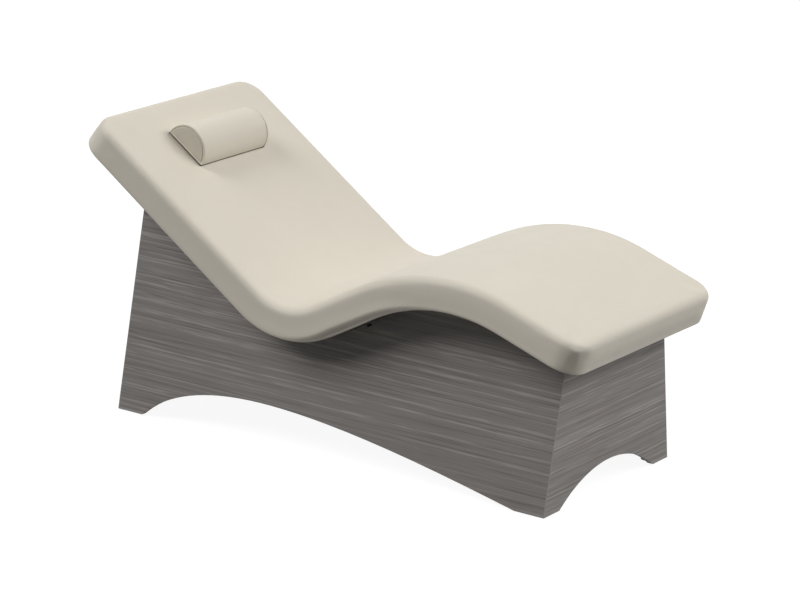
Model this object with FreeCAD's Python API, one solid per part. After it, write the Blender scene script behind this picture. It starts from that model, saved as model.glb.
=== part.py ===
"""A spa relaxation lounger: a contoured upholstered bed on a panelled base.

Millimetres and degrees. +Z is up, +X points to the foot end, and the origin is on the
floor under the middle of the whole outline. Left is the left of a person lying on the
bed, +Y. One side profile shapes the cushion, and each layer of the bed is a stretch of
that profile at a depth below the top surface.
"""
import FreeCAD, Part
import math
import os
from collections import namedtuple

Vec = FreeCAD.Vector

# Cushion, as seen from the side
CUSHION_THICKNESS = 98.8
BACK_LENGTH = 744.0
BACK_ANGLE = 34.5
SEAT_BACK_RADIUS = 184.0
SEAT_RISE_RADIUS = 181.0
RISE_LENGTH = 183.0
RISE_ANGLE = 29.1
KNEE_RADIUS = 638.0
LEG_LENGTH = 262.6
LEG_ANGLE = 18.4
SEAT_HEIGHT = 459.6

# Cushion, across its width
CUSHION_WIDTH = 800.0
PLAN_CORNER_RADIUS = 79.0
TOP_EDGE_RADIUS = 26.0
BOTTOM_EDGE_RADIUS = 9.0

# Layers of the cushion
COVER_THICKNESS = 1.2
COMFORT_FOAM_THICKNESS = 35.0
DECK_THICKNESS = 12.0
DECK_INSET = 32.0
COVER_TURN_UNDER = 82.0
WINDOW_CORNER_RADIUS = 30.0
DUST_COVER_THICKNESS = 0.6
DUST_COVER_CLEARANCE = 0.5

# Staples under the deck
STAPLE_CROWN = 12.0
STAPLE_WIRE = 0.8
STAPLE_LEG = 8.0
STAPLE_PITCH = 125.0
STAPLE_EDGE_MARGIN = 14.0

# Base
BASE_SIDE_INSET = 44.5
HEAD_OVERHANG = 137.1
FOOT_OVERHANG = 111.2
SIDE_LEAN_ANGLE = 9.8
PANEL_FLOOR_GAP = 4.0
PANEL_THICKNESS = 18.0
LAMINATE_THICKNESS = 1.0

# Arches cut in the bottom of the panels
HEAD_TOE_LENGTH = 91.5
FOOT_TOE_LENGTH = 99.2
SIDE_ARCH_RISE = 122.2
ARCH_CROWN_SHARE = 0.34
HEAD_ARCH_START_ANGLE = 44.4
FOOT_ARCH_END_ANGLE = 11.1
END_TOE_WIDTH = 86.3
END_ARCH_RISE = 87.6

# Bearers under the deck and bulkheads between the side panels
BEARER_THICKNESS = 12.0
BEARER_WIDTH = 70.0
BEARER_JOINT_CLEARANCE = 0.3
BULKHEAD_THICKNESS = 18.0
BULKHEAD_FLOOR_HEIGHT = 140.0
BULKHEAD_FIT = 0.3
NOTCH_WIDTH = 18.0
NOTCH_DEPTH = 9.0

# Corner blocks
BLOCK_SIZE = 48.0
BLOCK_HEIGHT = 140.0

# Levelling feet
PAD_RADIUS = 19.0
PAD_HEIGHT = 9.0
PAD_EDGE_RADIUS = 1.5
PAD_FLOOR = 3.0
STEM_DISC_RADIUS = 6.0
STEM_DISC_HEIGHT = 3.4
STEM_NECK_RADIUS = 4.0
STEM_COLLAR_ACROSS_FLATS = 14.0
STEM_COLLAR_HEIGHT = 5.5
STEM_THREAD_RADIUS = 5.0
STEM_THREAD_LENGTH = 46.0
STEM_BORE_END_GAP = 4.0
COLLAR_STOP_GAP = 0.3
INSERT_RADIUS = 7.0
INSERT_LENGTH = 20.0
INSERT_FLANGE_RADIUS = 10.0
INSERT_FLANGE_THICKNESS = 2.0
RUNNING_CLEARANCE = 0.05
END_CLEARANCE = 0.1

# Fixings
SCREW_SHANK_RADIUS = 2.5
SCREW_HEAD_RADIUS = 5.0
PANEL_SCREW_LENGTH = 50.0
BLOCK_SCREW_LENGTH = 58.0
BEARER_SCREW_LENGTH = 42.0
SCREW_HOLE_CLEARANCE = 0.1
BOLT_RADIUS = 4.0
BOLT_HEAD_ACROSS_FLATS = 13.0
BOLT_HEAD_HEIGHT = 5.3
WASHER_RADIUS = 9.0
WASHER_THICKNESS = 1.6
BOLT_FROM_EDGE = 44.0
TEE_NUT_FLANGE_RADIUS = 11.0
TEE_NUT_FLANGE_THICKNESS = 1.5
TEE_NUT_BARREL_RADIUS = 5.0
TEE_NUT_BARREL_LENGTH = 9.0
FOAM_RECESS_CLEARANCE = 0.3

# Head pillow
PILLOW_RADIUS = 75.5
PILLOW_LENGTH = 330.0
PILLOW_FROM_HEAD = 203.5
PILLOW_EDGE_RADIUS = 7.0
PILLOW_CAP_RIM = 8.5
PILLOW_CAP_RECESS = 0.8
PILLOW_CAP_CLEARANCE = 0.3
PILLOW_LIFT = 3.0
STRIP_GAP = 0.3
STRIP_WIDTH = 30.0
STRIP_END_MARGIN = 22.0
STRIP_SPACING = 84.0

# Where repeated fixings stand, as shares of what carries them
PANEL_SCREW_SHARES = (0.12, 0.5, 0.88)
BULKHEAD_SCREW_SHARES = (0.2, 0.8)
BLOCK_SIDE_SCREW_SHARES = (0.55, 0.85)
BLOCK_END_SCREW_SHARES = (0.70, 0.95)
BACK_BOLT_SHARES = (0.34, 0.6, 0.9)
RISE_BOLT_SHARES = (0.5,)
LEG_BOLT_SHARES = (0.06, 0.4)
BACK_BEARER_SCREW_SHARES = (0.3, 0.45, 0.7, 0.96)
RISE_BEARER_SCREW_SHARES = (0.08, 0.92)
LEG_BEARER_SCREW_SHARES = (0.25, 0.6)
END_BEARER_SCREW_SHARES = (-0.6, 0.0, 0.6)
BACK_BULKHEAD_SHARE = 0.52

# Handles of the arch curves, as shares of their spans
HEAD_ARCH_TOE_HANDLE_SHARE = 0.29
HEAD_ARCH_CROWN_HANDLE_SHARE = 0.45
FOOT_ARCH_CROWN_HANDLE_SHARE = 0.34
FOOT_ARCH_TOE_HANDLE_SHARE = 0.21

# Reach of cutting tools past what they cut, and how close two points count as one
OVERRUN = 5.0
CLOSE = 0.001
EDGE_SAMPLE_SHARES = (0.0, 0.5, 1.0)

Stretch = namedtuple("Stretch", "length radius turn")
Station = namedtuple("Station", "x z heading distance")


def advance(station, stretch, share=1.0):
    """Return the station that a share of one stretch leads to."""
    if stretch.radius == 0:
        run = stretch.length * share
        x = station.x + run * math.cos(station.heading)
        z = station.z + run * math.sin(station.heading)
        return Station(x, z, station.heading, station.distance + run)
    turn = math.radians(stretch.turn) * share
    chord = 2 * stretch.radius * math.sin(abs(turn) / 2)
    bearing = station.heading + turn / 2
    x = station.x + chord * math.cos(bearing)
    z = station.z + chord * math.sin(bearing)
    return Station(x, z, station.heading + turn, station.distance + stretch.radius * abs(turn))


def point(station, depth, y=0.0):
    """Return the point at a depth straight under a station of the top surface."""
    x = station.x + math.sin(station.heading) * depth
    z = station.z - math.cos(station.heading) * depth
    return Vec(x, y, z)


class SideProfile:
    """The top surface's long curve seen from the side, from the head end to the foot end.

    A straight stretch has a length and no radius. A round one has a radius and a turn in
    degrees, positive where the curve turns upwards.
    """

    BACK, SEAT_BACK, SEAT_RISE, RISE, KNEE_UP, KNEE_DOWN, LEG = range(7)

    def __init__(self):
        self.stretches = (
            Stretch(BACK_LENGTH, 0, 0),
            Stretch(0, SEAT_BACK_RADIUS, BACK_ANGLE),
            Stretch(0, SEAT_RISE_RADIUS, RISE_ANGLE),
            Stretch(RISE_LENGTH, 0, 0),
            Stretch(0, KNEE_RADIUS, -RISE_ANGLE),
            Stretch(0, KNEE_RADIUS, -LEG_ANGLE),
            Stretch(LEG_LENGTH, 0, 0),
        )
        self.stations = self.walk(0.0, 0.0)
        low = self.stations[self.SEAT_RISE]
        head, foot = self.reach()
        self.stations = self.walk(-(head + foot) / 2, SEAT_HEIGHT - low.z)

    def walk(self, x, z):
        """Return the ends of all the stretches, with the head end at one place."""
        stations = [Station(x, z, -math.radians(BACK_ANGLE), 0.0)]
        for stretch in self.stretches:
            stations.append(advance(stations[-1], stretch))
        return stations

    def reach(self):
        """Return the lowest and highest X of the cushion with its rounded ends."""
        low, high = [], []
        for radius, depth in ((TOP_EDGE_RADIUS, TOP_EDGE_RADIUS),
                              (BOTTOM_EDGE_RADIUS, CUSHION_THICKNESS - BOTTOM_EDGE_RADIUS)):
            head = advance(self.stations[0], Stretch(radius, 0, 0))
            foot = advance(self.stations[-1], Stretch(-radius, 0, 0))
            low.append(point(head, depth).x - radius)
            high.append(point(foot, depth).x + radius)
        return min(low), max(high)

    def at(self, index, share):
        """Return the station at a share of one stretch."""
        return advance(self.stations[index], self.stretches[index], share)

    def at_distance(self, distance):
        """Return the station at a distance from the head end along the top surface."""
        for index, stretch in enumerate(self.stretches):
            start, end = self.stations[index], self.stations[index + 1]
            if distance <= end.distance or index == self.LEG:
                return self.at(index, (distance - start.distance) / (end.distance - start.distance))

    def length(self):
        """Return the length of the top surface from end to end."""
        return self.stations[-1].distance

    def rail(self, depth, first=0, last=LEG, end_inset=0.0):
        """Return the edges of the curve at a depth, drawn in at the head and foot ends."""
        edges = []
        for index in range(first, last + 1):
            start, end = self.stations[index], self.stations[index + 1]
            if index == self.BACK:
                start = advance(start, Stretch(end_inset, 0, 0))
            if index == self.LEG:
                end = advance(end, Stretch(-end_inset, 0, 0))
            if self.stretches[index].radius == 0:
                edges.append(line(point(start, depth), point(end, depth)))
            else:
                middle = self.at(index, 1 / 2)
                arc = Part.Arc(point(start, depth), point(middle, depth), point(end, depth))
                edges.append(arc.toShape())
        return edges


def line(start, end):
    """Return one straight edge."""
    return Part.LineSegment(start, end).toShape()


def first_point(edge):
    """Return the point where an edge starts."""
    return edge.valueAt(edge.ParameterRange[0])


def last_point(edge):
    """Return the point where an edge ends."""
    return edge.valueAt(edge.ParameterRange[1])


def extrude(edges, direction):
    """Return the solid that a closed outline sweeps out along one direction."""
    wire = Part.Wire(Part.sortEdges(edges)[0])
    return Part.Face(wire).extrude(direction)


def polygon(points, direction):
    """Return the solid that a closed polygon sweeps out along one direction."""
    return Part.Face(Part.makePolygon(points + [points[0]])).extrude(direction)


def block(x0, x1, y0, y1, z0, z1):
    """Return a box between two corners."""
    return Part.makeBox(x1 - x0, y1 - y0, z1 - z0, Vec(x0, y0, z0))


def mirrored(shape):
    """Return the copy of a left piece on the right side."""
    return shape.mirror(Vec(0, 0, 0), Vec(0, 1, 0))


def group(shapes):
    """Return separate solids as one compound."""
    return Part.makeCompound([solid for shape in shapes for solid in shape.Solids])


def fused(shapes):
    """Return touching solids as one solid."""
    return shapes[0].multiFuse(shapes[1:]).removeSplitter()


PROFILE = SideProfile()
HEAD_X, FOOT_X = PROFILE.reach()
BASE_HEAD_X = HEAD_X + HEAD_OVERHANG
BASE_FOOT_X = FOOT_X - FOOT_OVERHANG
BASE_LENGTH = BASE_FOOT_X - BASE_HEAD_X
HALF_WIDTH = CUSHION_WIDTH / 2
BASE_HALF_WIDTH = HALF_WIDTH - BASE_SIDE_INSET
DECK_BOTTOM = CUSHION_THICKNESS - COVER_THICKNESS
DECK_TOP = DECK_BOTTOM - DECK_THICKNESS
FOAM_JOINT = COVER_THICKNESS + COMFORT_FOAM_THICKNESS
BEARER_TOP = DECK_BOTTOM + DUST_COVER_THICKNESS
BEARER_BOTTOM = BEARER_TOP + BEARER_THICKNESS
TALL = PROFILE.stations[0].z
SIDE_SLOPE = math.tan(math.radians(SIDE_LEAN_ANGLE))
SIDE_COSINE = math.cos(math.radians(SIDE_LEAN_ANGLE))
SKIN_AND_PANEL = LAMINATE_THICKNESS + PANEL_THICKNESS
PANEL_MIDDLE = LAMINATE_THICKNESS + PANEL_THICKNESS / 2
BLOCK_BOTTOM = (PAD_HEIGHT + END_CLEARANCE + STEM_COLLAR_HEIGHT
                + COLLAR_STOP_GAP + INSERT_FLANGE_THICKNESS)


def side_y(z, depth=0.0):
    """Return how far out the leaning left side is at a height, at a depth under its face."""
    return BASE_HALF_WIDTH - SIDE_SLOPE * (z - PANEL_FLOOR_GAP) - depth / SIDE_COSINE


def band(top, bottom, half_width, end_inset=0.0, first=0, last=SideProfile.LEG):
    """Return a layer of the bed between two depths, square-cut at its ends and sides."""
    upper = PROFILE.rail(top, first, last, end_inset)
    lower = PROFILE.rail(bottom, first, last, end_inset)
    head = line(first_point(lower[0]), first_point(upper[0]))
    foot = line(last_point(upper[-1]), last_point(lower[-1]))
    solid = extrude(upper + [foot] + lower + [head], Vec(0, 2 * half_width, 0))
    return solid.translated(Vec(0, -half_width, 0))


def under(depth):
    """Return everything under the curve at a depth, down past the floor."""
    upper = PROFILE.rail(depth)
    head = first_point(upper[0])
    foot = last_point(upper[-1])
    head_low = Vec(head.x, 0, -OVERRUN)
    foot_low = Vec(foot.x, 0, -OVERRUN)
    outline = upper + [line(foot, foot_low), line(foot_low, head_low), line(head_low, head)]
    return extrude(outline, Vec(0, CUSHION_WIDTH, 0)).translated(Vec(0, -HALF_WIDTH, 0))


def lies_on(edge, wire):
    """Return whether an edge lies on a wire, seen from the side."""
    first, last = edge.ParameterRange
    for share in EDGE_SAMPLE_SHARES:
        spot = edge.valueAt(first + share * (last - first))
        if wire.distToShape(Part.Vertex(Vec(spot.x, 0, spot.z)))[0] > CLOSE:
            return False
    return True


def crosses_inside(edge, wire):
    """Return whether an edge runs straight across the bed between the ends of a wire."""
    start, end = first_point(edge), last_point(edge)
    if math.hypot(end.x - start.x, end.z - start.z) > CLOSE:
        return False
    spot = Vec(start.x, 0, start.z)
    return min(vertex.Point.distanceToPoint(spot) for vertex in wire_ends(wire)) > CLOSE


def wire_ends(wire):
    """Return the two end vertices of an open wire."""
    return [wire.OrderedVertexes[0], wire.OrderedVertexes[-1]]


def round_corners(solid, top, bottom, end_inset, radius):
    """Round the four upright corner edges of a layer, seen from above."""
    upper = Part.Wire(PROFILE.rail(top, end_inset=end_inset))
    lower = Part.Wire(PROFILE.rail(bottom, end_inset=end_inset))
    corners = []
    for edge in solid.Edges:
        ends = [Part.Vertex(Vec(spot.x, 0, spot.z)) for spot in (first_point(edge), last_point(edge))]
        gaps = [[wire.distToShape(end)[0] for wire in (upper, lower)] for end in ends]
        if min(gaps[0][0], gaps[1][0]) < CLOSE and min(gaps[0][1], gaps[1][1]) < CLOSE:
            corners.append(edge)
    return solid.makeFillet(radius, corners)


def round_rim(solid, depth, end_inset, radius):
    """Round the whole rim of a layer at one depth."""
    wire = Part.Wire(PROFILE.rail(depth, end_inset=end_inset))
    rim = [edge for edge in solid.Edges if lies_on(edge, wire) and not crosses_inside(edge, wire)]
    return solid.makeFillet(radius, rim)


def padded_form(inset):
    """Return the cushion's rounded form, drawn in by an inset all round."""
    top, bottom = inset, CUSHION_THICKNESS - inset
    solid = band(top, bottom, HALF_WIDTH - inset, inset)
    solid = round_corners(solid, top, bottom, inset, PLAN_CORNER_RADIUS - inset)
    solid = round_rim(solid, top, inset, TOP_EDGE_RADIUS - inset)
    return round_rim(solid, bottom, inset, BOTTOM_EDGE_RADIUS - inset)


def rounded_band(top, bottom, side_inset, radius):
    """Return a layer drawn in from the cushion's outline, with round corners."""
    solid = band(top, bottom, HALF_WIDTH - side_inset, side_inset)
    return round_corners(solid, top, bottom, side_inset, radius)


def placed(shape, station, depth, y):
    """Return a shape moved so that its Z is the surface's normal at a depth under a station."""
    turn = FreeCAD.Rotation(Vec(0, 1, 0), -math.degrees(station.heading))
    copy = shape.copy()
    copy.Placement = FreeCAD.Placement(point(station, depth, y), turn).multiply(shape.Placement)
    return copy


def pointed(shape, place, direction):
    """Return a shape moved to a place, with its Z along a direction."""
    turn = FreeCAD.Rotation(Vec(0, 0, 1), direction)
    copy = shape.copy()
    copy.Placement = FreeCAD.Placement(place, turn).multiply(shape.Placement)
    return copy


def countersunk_screw(length):
    """Return a screw whose flat head top is at the origin, pointing along +Z."""
    depth = SCREW_HEAD_RADIUS - SCREW_SHANK_RADIUS
    cone = Part.makeCone(SCREW_HEAD_RADIUS, SCREW_SHANK_RADIUS, depth)
    return fused([cone, Part.makeCylinder(SCREW_SHANK_RADIUS, length)])


def screw_hole(length):
    """Return the hole for such a screw, open above its head."""
    shank = SCREW_SHANK_RADIUS + SCREW_HOLE_CLEARANCE
    head = SCREW_HEAD_RADIUS + SCREW_HOLE_CLEARANCE
    mouth = Part.makeCylinder(head, 2 * head, Vec(0, 0, -2 * head))
    cone = Part.makeCone(head, shank, head - shank)
    return fused([mouth, cone, Part.makeCylinder(shank, length + SCREW_HOLE_CLEARANCE)])


def hexagon(across_flats, height):
    """Return a hexagonal prism standing on the origin."""
    radius = across_flats / math.sqrt(3)
    corners = []
    for index in range(6):
        angle = math.radians(60 * index)
        corners.append(Vec(radius * math.cos(angle), radius * math.sin(angle), 0))
    return polygon(corners, Vec(0, 0, height))


def bolt_places():
    """Return the station and the side place of each deck bolt on the left."""
    places = []
    for index, shares in ((SideProfile.BACK, BACK_BOLT_SHARES),
                          (SideProfile.RISE, RISE_BOLT_SHARES),
                          (SideProfile.LEG, LEG_BOLT_SHARES)):
        for share in shares:
            station = PROFILE.at(index, share)
            y = side_y(point(station, BEARER_BOTTOM).z, BOLT_FROM_EDGE)
            places.append((station, y))
    return places


def on_both_sides(shape, depth):
    """Return copies of a shape at every deck bolt, left and right."""
    copies = []
    for station, y in bolt_places():
        copies.append(placed(shape, station, depth, y))
        copies.append(placed(shape, station, depth, -y))
    return copies


def make_deck():
    """Return the formed plywood deck with its tee nut holes."""
    deck = rounded_band(DECK_TOP, DECK_BOTTOM, DECK_INSET, PLAN_CORNER_RADIUS - DECK_INSET)
    hole = Part.makeCylinder(TEE_NUT_BARREL_RADIUS + RUNNING_CLEARANCE, DECK_THICKNESS + 2 * OVERRUN)
    return deck.cut(group(on_both_sides(hole, DECK_BOTTOM + OVERRUN)))


def make_tee_nuts():
    """Return the tee nuts that sit in the top of the deck."""
    flange = Part.makeCylinder(TEE_NUT_FLANGE_RADIUS, TEE_NUT_FLANGE_THICKNESS)
    barrel = Part.makeCylinder(TEE_NUT_BARREL_RADIUS, TEE_NUT_BARREL_LENGTH,
                               Vec(0, 0, -TEE_NUT_BARREL_LENGTH))
    height = TEE_NUT_BARREL_LENGTH + TEE_NUT_FLANGE_THICKNESS
    bore = Part.makeCylinder(BOLT_RADIUS + RUNNING_CLEARANCE, height + 2 * OVERRUN,
                             Vec(0, 0, -TEE_NUT_BARREL_LENGTH - OVERRUN))
    return group(on_both_sides(fused([flange, barrel]).cut(bore), DECK_TOP))


def make_washers():
    """Return the washers under the bearers."""
    washer = Part.makeCylinder(WASHER_RADIUS, WASHER_THICKNESS, Vec(0, 0, -WASHER_THICKNESS))
    bore = Part.makeCylinder(BOLT_RADIUS + RUNNING_CLEARANCE, WASHER_THICKNESS + 2 * OVERRUN,
                             Vec(0, 0, -WASHER_THICKNESS - OVERRUN))
    return group(on_both_sides(washer.cut(bore), BEARER_BOTTOM))


def make_bolts():
    """Return the deck bolts, from under the washers to the top of the tee nuts."""
    head = hexagon(BOLT_HEAD_ACROSS_FLATS, BOLT_HEAD_HEIGHT)
    length = BOLT_HEAD_HEIGHT + WASHER_THICKNESS + BEARER_BOTTOM - DECK_TOP
    bolt = fused([head, Part.makeCylinder(BOLT_RADIUS, length)])
    return group(on_both_sides(bolt, BEARER_BOTTOM + WASHER_THICKNESS + BOLT_HEAD_HEIGHT))


def bolt_holes():
    """Return the clearance holes for the bolts in the bearers and the dust cover."""
    hole = Part.makeCylinder(BOLT_RADIUS + SCREW_HOLE_CLEARANCE, BEARER_THICKNESS + 2 * OVERRUN)
    return group(on_both_sides(hole, BEARER_BOTTOM + OVERRUN))


def make_foams():
    """Return the comfort layer and the three blocks of support foam."""
    form = padded_form(COVER_THICKNESS)
    wide = HALF_WIDTH + OVERRUN
    comfort = form.common(band(-OVERRUN, FOAM_JOINT, wide, -OVERRUN))
    recess = Part.makeCylinder(TEE_NUT_FLANGE_RADIUS + FOAM_RECESS_CLEARANCE,
                               TEE_NUT_FLANGE_THICKNESS + FOAM_RECESS_CLEARANCE)
    seat = rounded_band(DECK_TOP, DECK_BOTTOM + OVERRUN, DECK_INSET, PLAN_CORNER_RADIUS - DECK_INSET)
    core = form.cut(seat)
    core = core.cut(group(on_both_sides(recess, DECK_TOP)))
    foams = {"comfort_foam": comfort}
    for name, first, last in (("support_foam_back", SideProfile.BACK, SideProfile.BACK),
                              ("support_foam_seat", SideProfile.SEAT_BACK, SideProfile.RISE),
                              ("support_foam_leg", SideProfile.KNEE_UP, SideProfile.LEG)):
        stretch = band(FOAM_JOINT, CUSHION_THICKNESS + OVERRUN, wide, -OVERRUN, first, last)
        foams[name] = core.common(stretch)
    return foams


def make_cover():
    """Return the upholstery cover, turned under the deck round an open window."""
    cover = padded_form(0.0).cut(padded_form(COVER_THICKNESS))
    window = rounded_band(DECK_BOTTOM - OVERRUN, CUSHION_THICKNESS + OVERRUN, COVER_TURN_UNDER,
                          WINDOW_CORNER_RADIUS)
    return cover.cut(window)


def make_dust_cover():
    """Return the cloth that closes the window under the deck."""
    inset = COVER_TURN_UNDER + DUST_COVER_CLEARANCE
    cloth = rounded_band(DECK_BOTTOM, BEARER_TOP, inset, WINDOW_CORNER_RADIUS - DUST_COVER_CLEARANCE)
    return cloth.cut(bolt_holes())


def staple_row(inset, depth):
    """Return staples driven up into the deck until their crowns are flush with a face at a depth."""
    half_wire = STAPLE_WIRE / 2
    half_crown = STAPLE_CROWN / 2
    crown = block(-half_wire, half_wire, -half_crown, half_crown, -STAPLE_WIRE, 0)
    legs = []
    for side in (-1, 1):
        y = side * (half_crown - half_wire)
        legs.append(block(-half_wire, half_wire, y - half_wire, y + half_wire, -STAPLE_WIRE, STAPLE_LEG))
    staple = fused([crown] + legs)
    places = []
    run = PROFILE.length() - 2 * inset
    count = max(2, round(run / STAPLE_PITCH))
    for index in range(count + 1):
        station = PROFILE.at_distance(inset + run * index / count)
        spots = [-1, 1]
        if index in (0, count):
            across = max(2, round((CUSHION_WIDTH - 2 * inset) / STAPLE_PITCH))
            spots = [2 * step / across - 1 for step in range(1, across)]
        for spot in spots:
            places.append(placed(staple, station, depth - STAPLE_WIRE, spot * (HALF_WIDTH - inset)))
    return group(places)


def arch_tool():
    """Return the tool that cuts the long arch in both side panels."""
    start = Vec(BASE_HEAD_X + HEAD_TOE_LENGTH, 0, PANEL_FLOOR_GAP)
    end = Vec(BASE_FOOT_X - FOOT_TOE_LENGTH, 0, PANEL_FLOOR_GAP)
    crown = Vec(BASE_HEAD_X + BASE_LENGTH * ARCH_CROWN_SHARE, 0, PANEL_FLOOR_GAP + SIDE_ARCH_RISE)
    head_span = crown.x - start.x
    foot_span = end.x - crown.x
    up = math.radians(HEAD_ARCH_START_ANGLE)
    down = math.radians(FOOT_ARCH_END_ANGLE)
    toe_handle = head_span * HEAD_ARCH_TOE_HANDLE_SHARE
    end_handle = foot_span * FOOT_ARCH_TOE_HANDLE_SHARE
    head_curve = Part.BezierCurve()
    head_curve.setPoles([start,
                         start + Vec(toe_handle * math.cos(up), 0, toe_handle * math.sin(up)),
                         crown - Vec(head_span * HEAD_ARCH_CROWN_HANDLE_SHARE, 0, 0),
                         crown])
    foot_curve = Part.BezierCurve()
    foot_curve.setPoles([crown,
                         crown + Vec(foot_span * FOOT_ARCH_CROWN_HANDLE_SHARE, 0, 0),
                         end + Vec(-end_handle * math.cos(down), 0, end_handle * math.sin(down)),
                         end])
    start_low = Vec(start.x, 0, -OVERRUN)
    end_low = Vec(end.x, 0, -OVERRUN)
    outline = [line(start_low, start), head_curve.toShape(), foot_curve.toShape(),
               line(end, end_low), line(end_low, start_low)]
    return extrude(outline, Vec(0, CUSHION_WIDTH, 0)).translated(Vec(0, -HALF_WIDTH, 0))


def end_arch_tool():
    """Return the tool that cuts the arches in the head and foot panels."""
    half = BASE_HALF_WIDTH - END_TOE_WIDTH
    start = Vec(BASE_HEAD_X - OVERRUN, -half, PANEL_FLOOR_GAP)
    end = Vec(start.x, half, start.z)
    top = Vec(start.x, 0, start.z + END_ARCH_RISE)
    start_low = Vec(start.x, -half, -OVERRUN)
    end_low = Vec(start.x, half, -OVERRUN)
    outline = [line(start_low, start), Part.Arc(start, top, end).toShape(),
               line(end, end_low), line(end_low, start_low)]
    return extrude(outline, Vec(BASE_LENGTH + 2 * OVERRUN, 0, 0))


def side_layer(outer, inner, x0, x1):
    """Return a leaning layer of the left side between two depths under its face."""
    low, high = PANEL_FLOOR_GAP, TALL
    corners = [Vec(x0, side_y(low, inner), low), Vec(x0, side_y(low, outer), low),
               Vec(x0, side_y(high, outer), high), Vec(x0, side_y(high, inner), high)]
    return polygon(corners, Vec(x1 - x0, 0, 0))


def between_sides(depth, x0, x1):
    """Return the upright slice between the two leaning sides, drawn in by a depth."""
    low, high = PANEL_FLOOR_GAP, TALL
    corners = [Vec(x0, -side_y(low, depth), low), Vec(x0, side_y(low, depth), low),
               Vec(x0, side_y(high, depth), high), Vec(x0, -side_y(high, depth), high)]
    return polygon(corners, Vec(x1 - x0, 0, 0))


def notch_tool():
    """Return the tool for the access notch under the rise bolt in the sides' top edge."""
    station = PROFILE.at(SideProfile.RISE, RISE_BOLT_SHARES[0])
    tool = block(-NOTCH_WIDTH / 2, NOTCH_WIDTH / 2, -HALF_WIDTH, HALF_WIDTH, -NOTCH_DEPTH, OVERRUN)
    return placed(tool, station, BEARER_BOTTOM, 0.0)


def make_side_layer(outer, inner, x0, x1):
    """Return one layer of the left side panel, with its arch, shaped top and notch."""
    layer = side_layer(outer, inner, x0, x1).common(under(BEARER_BOTTOM))
    return layer.cut(arch_tool()).cut(notch_tool())


def make_end_layer(depth, x0, x1):
    """Return one layer of an end panel, with its arch and its sloping top."""
    return between_sides(depth, x0, x1).common(under(BEARER_BOTTOM)).cut(end_arch_tool())


def make_bulkhead(x):
    """Return a cross panel between the sides, notched round the bearers."""
    x0, x1 = x - BULKHEAD_THICKNESS / 2, x + BULKHEAD_THICKNESS / 2
    lower = between_sides(SKIN_AND_PANEL, x0, x1).common(under(BEARER_BOTTOM))
    upper = between_sides(BEARER_WIDTH + BULKHEAD_FIT, x0, x1).common(under(BEARER_TOP))
    clear = block(x0 - OVERRUN, x1 + OVERRUN, -HALF_WIDTH, HALF_WIDTH, -OVERRUN, BULKHEAD_FLOOR_HEIGHT)
    return fused([lower, upper]).cut(clear)


def bulkhead_places():
    """Return the X of each bulkhead by its name."""
    return {
        "bulkhead_back": point(PROFILE.at(SideProfile.BACK, BACK_BULKHEAD_SHARE), BEARER_BOTTOM).x,
        "bulkhead_seat": PROFILE.stations[SideProfile.SEAT_RISE].x,
        "bulkhead_knee": PROFILE.stations[SideProfile.KNEE_DOWN].x,
    }


def rail_height(depth, x):
    """Return the height of the curve at a depth, at one X."""
    probe = line(Vec(x, 0, -OVERRUN), Vec(x, 0, 2 * TALL))
    return Part.Wire(PROFILE.rail(depth)).distToShape(probe)[1][0][0].z


def side_screws(x, z):
    """Return where a screw starts on the left panel's core, and the way it points."""
    place = Vec(x, side_y(z, LAMINATE_THICKNESS), z)
    return place, Vec(0, -SIDE_COSINE, -math.sin(math.radians(SIDE_LEAN_ANGLE)))


def panel_screw_places():
    """Return the places of the left panel screws: into the end panels and the bulkheads."""
    columns = [(BASE_HEAD_X + PANEL_MIDDLE, PANEL_FLOOR_GAP, PANEL_SCREW_SHARES),
               (BASE_FOOT_X - PANEL_MIDDLE, PANEL_FLOOR_GAP, PANEL_SCREW_SHARES)]
    for x in bulkhead_places().values():
        columns.append((x, BULKHEAD_FLOOR_HEIGHT, BULKHEAD_SCREW_SHARES))
    places = []
    for x, low, shares in columns:
        for share in shares:
            places.append(side_screws(x, low + share * (rail_height(BEARER_BOTTOM, x) - low)))
    return places


def block_screw_places():
    """Return the places of the left corner blocks' screws, into the side and end panels."""
    places = []
    for end in (-1, 1):
        middle = block_middle(end)
        for share in BLOCK_SIDE_SCREW_SHARES:
            z = BLOCK_BOTTOM + share * BLOCK_HEIGHT
            place = Vec(middle, side_y(z, SKIN_AND_PANEL + BLOCK_SIZE), z)
            places.append((place, Vec(0, SIDE_COSINE, math.sin(math.radians(SIDE_LEAN_ANGLE)))))
        for share in BLOCK_END_SCREW_SHARES:
            z = BLOCK_BOTTOM + share * BLOCK_HEIGHT
            place = Vec(middle - end * BLOCK_SIZE / 2, side_y(z, SKIN_AND_PANEL + BLOCK_SIZE / 2), z)
            places.append((place, Vec(end, 0, 0)))
    return places


def bearer_screw_places():
    """Return the places of the left bearers' screws, into the side panel's top edge."""
    places = []
    for index, shares in ((SideProfile.BACK, BACK_BEARER_SCREW_SHARES),
                          (SideProfile.RISE, RISE_BEARER_SCREW_SHARES),
                          (SideProfile.LEG, LEG_BEARER_SCREW_SHARES)):
        for share in shares:
            station = PROFILE.at(index, share)
            top = point(station, BEARER_TOP)
            place = Vec(top.x, side_y(top.z, PANEL_MIDDLE), top.z)
            way = Vec(math.sin(station.heading), 0, -math.cos(station.heading))
            way.y = -way.z * SIDE_SLOPE
            way.normalize()
            places.append((place + way * SCREW_HEAD_RADIUS * SIDE_SLOPE, way))
    return places


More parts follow.
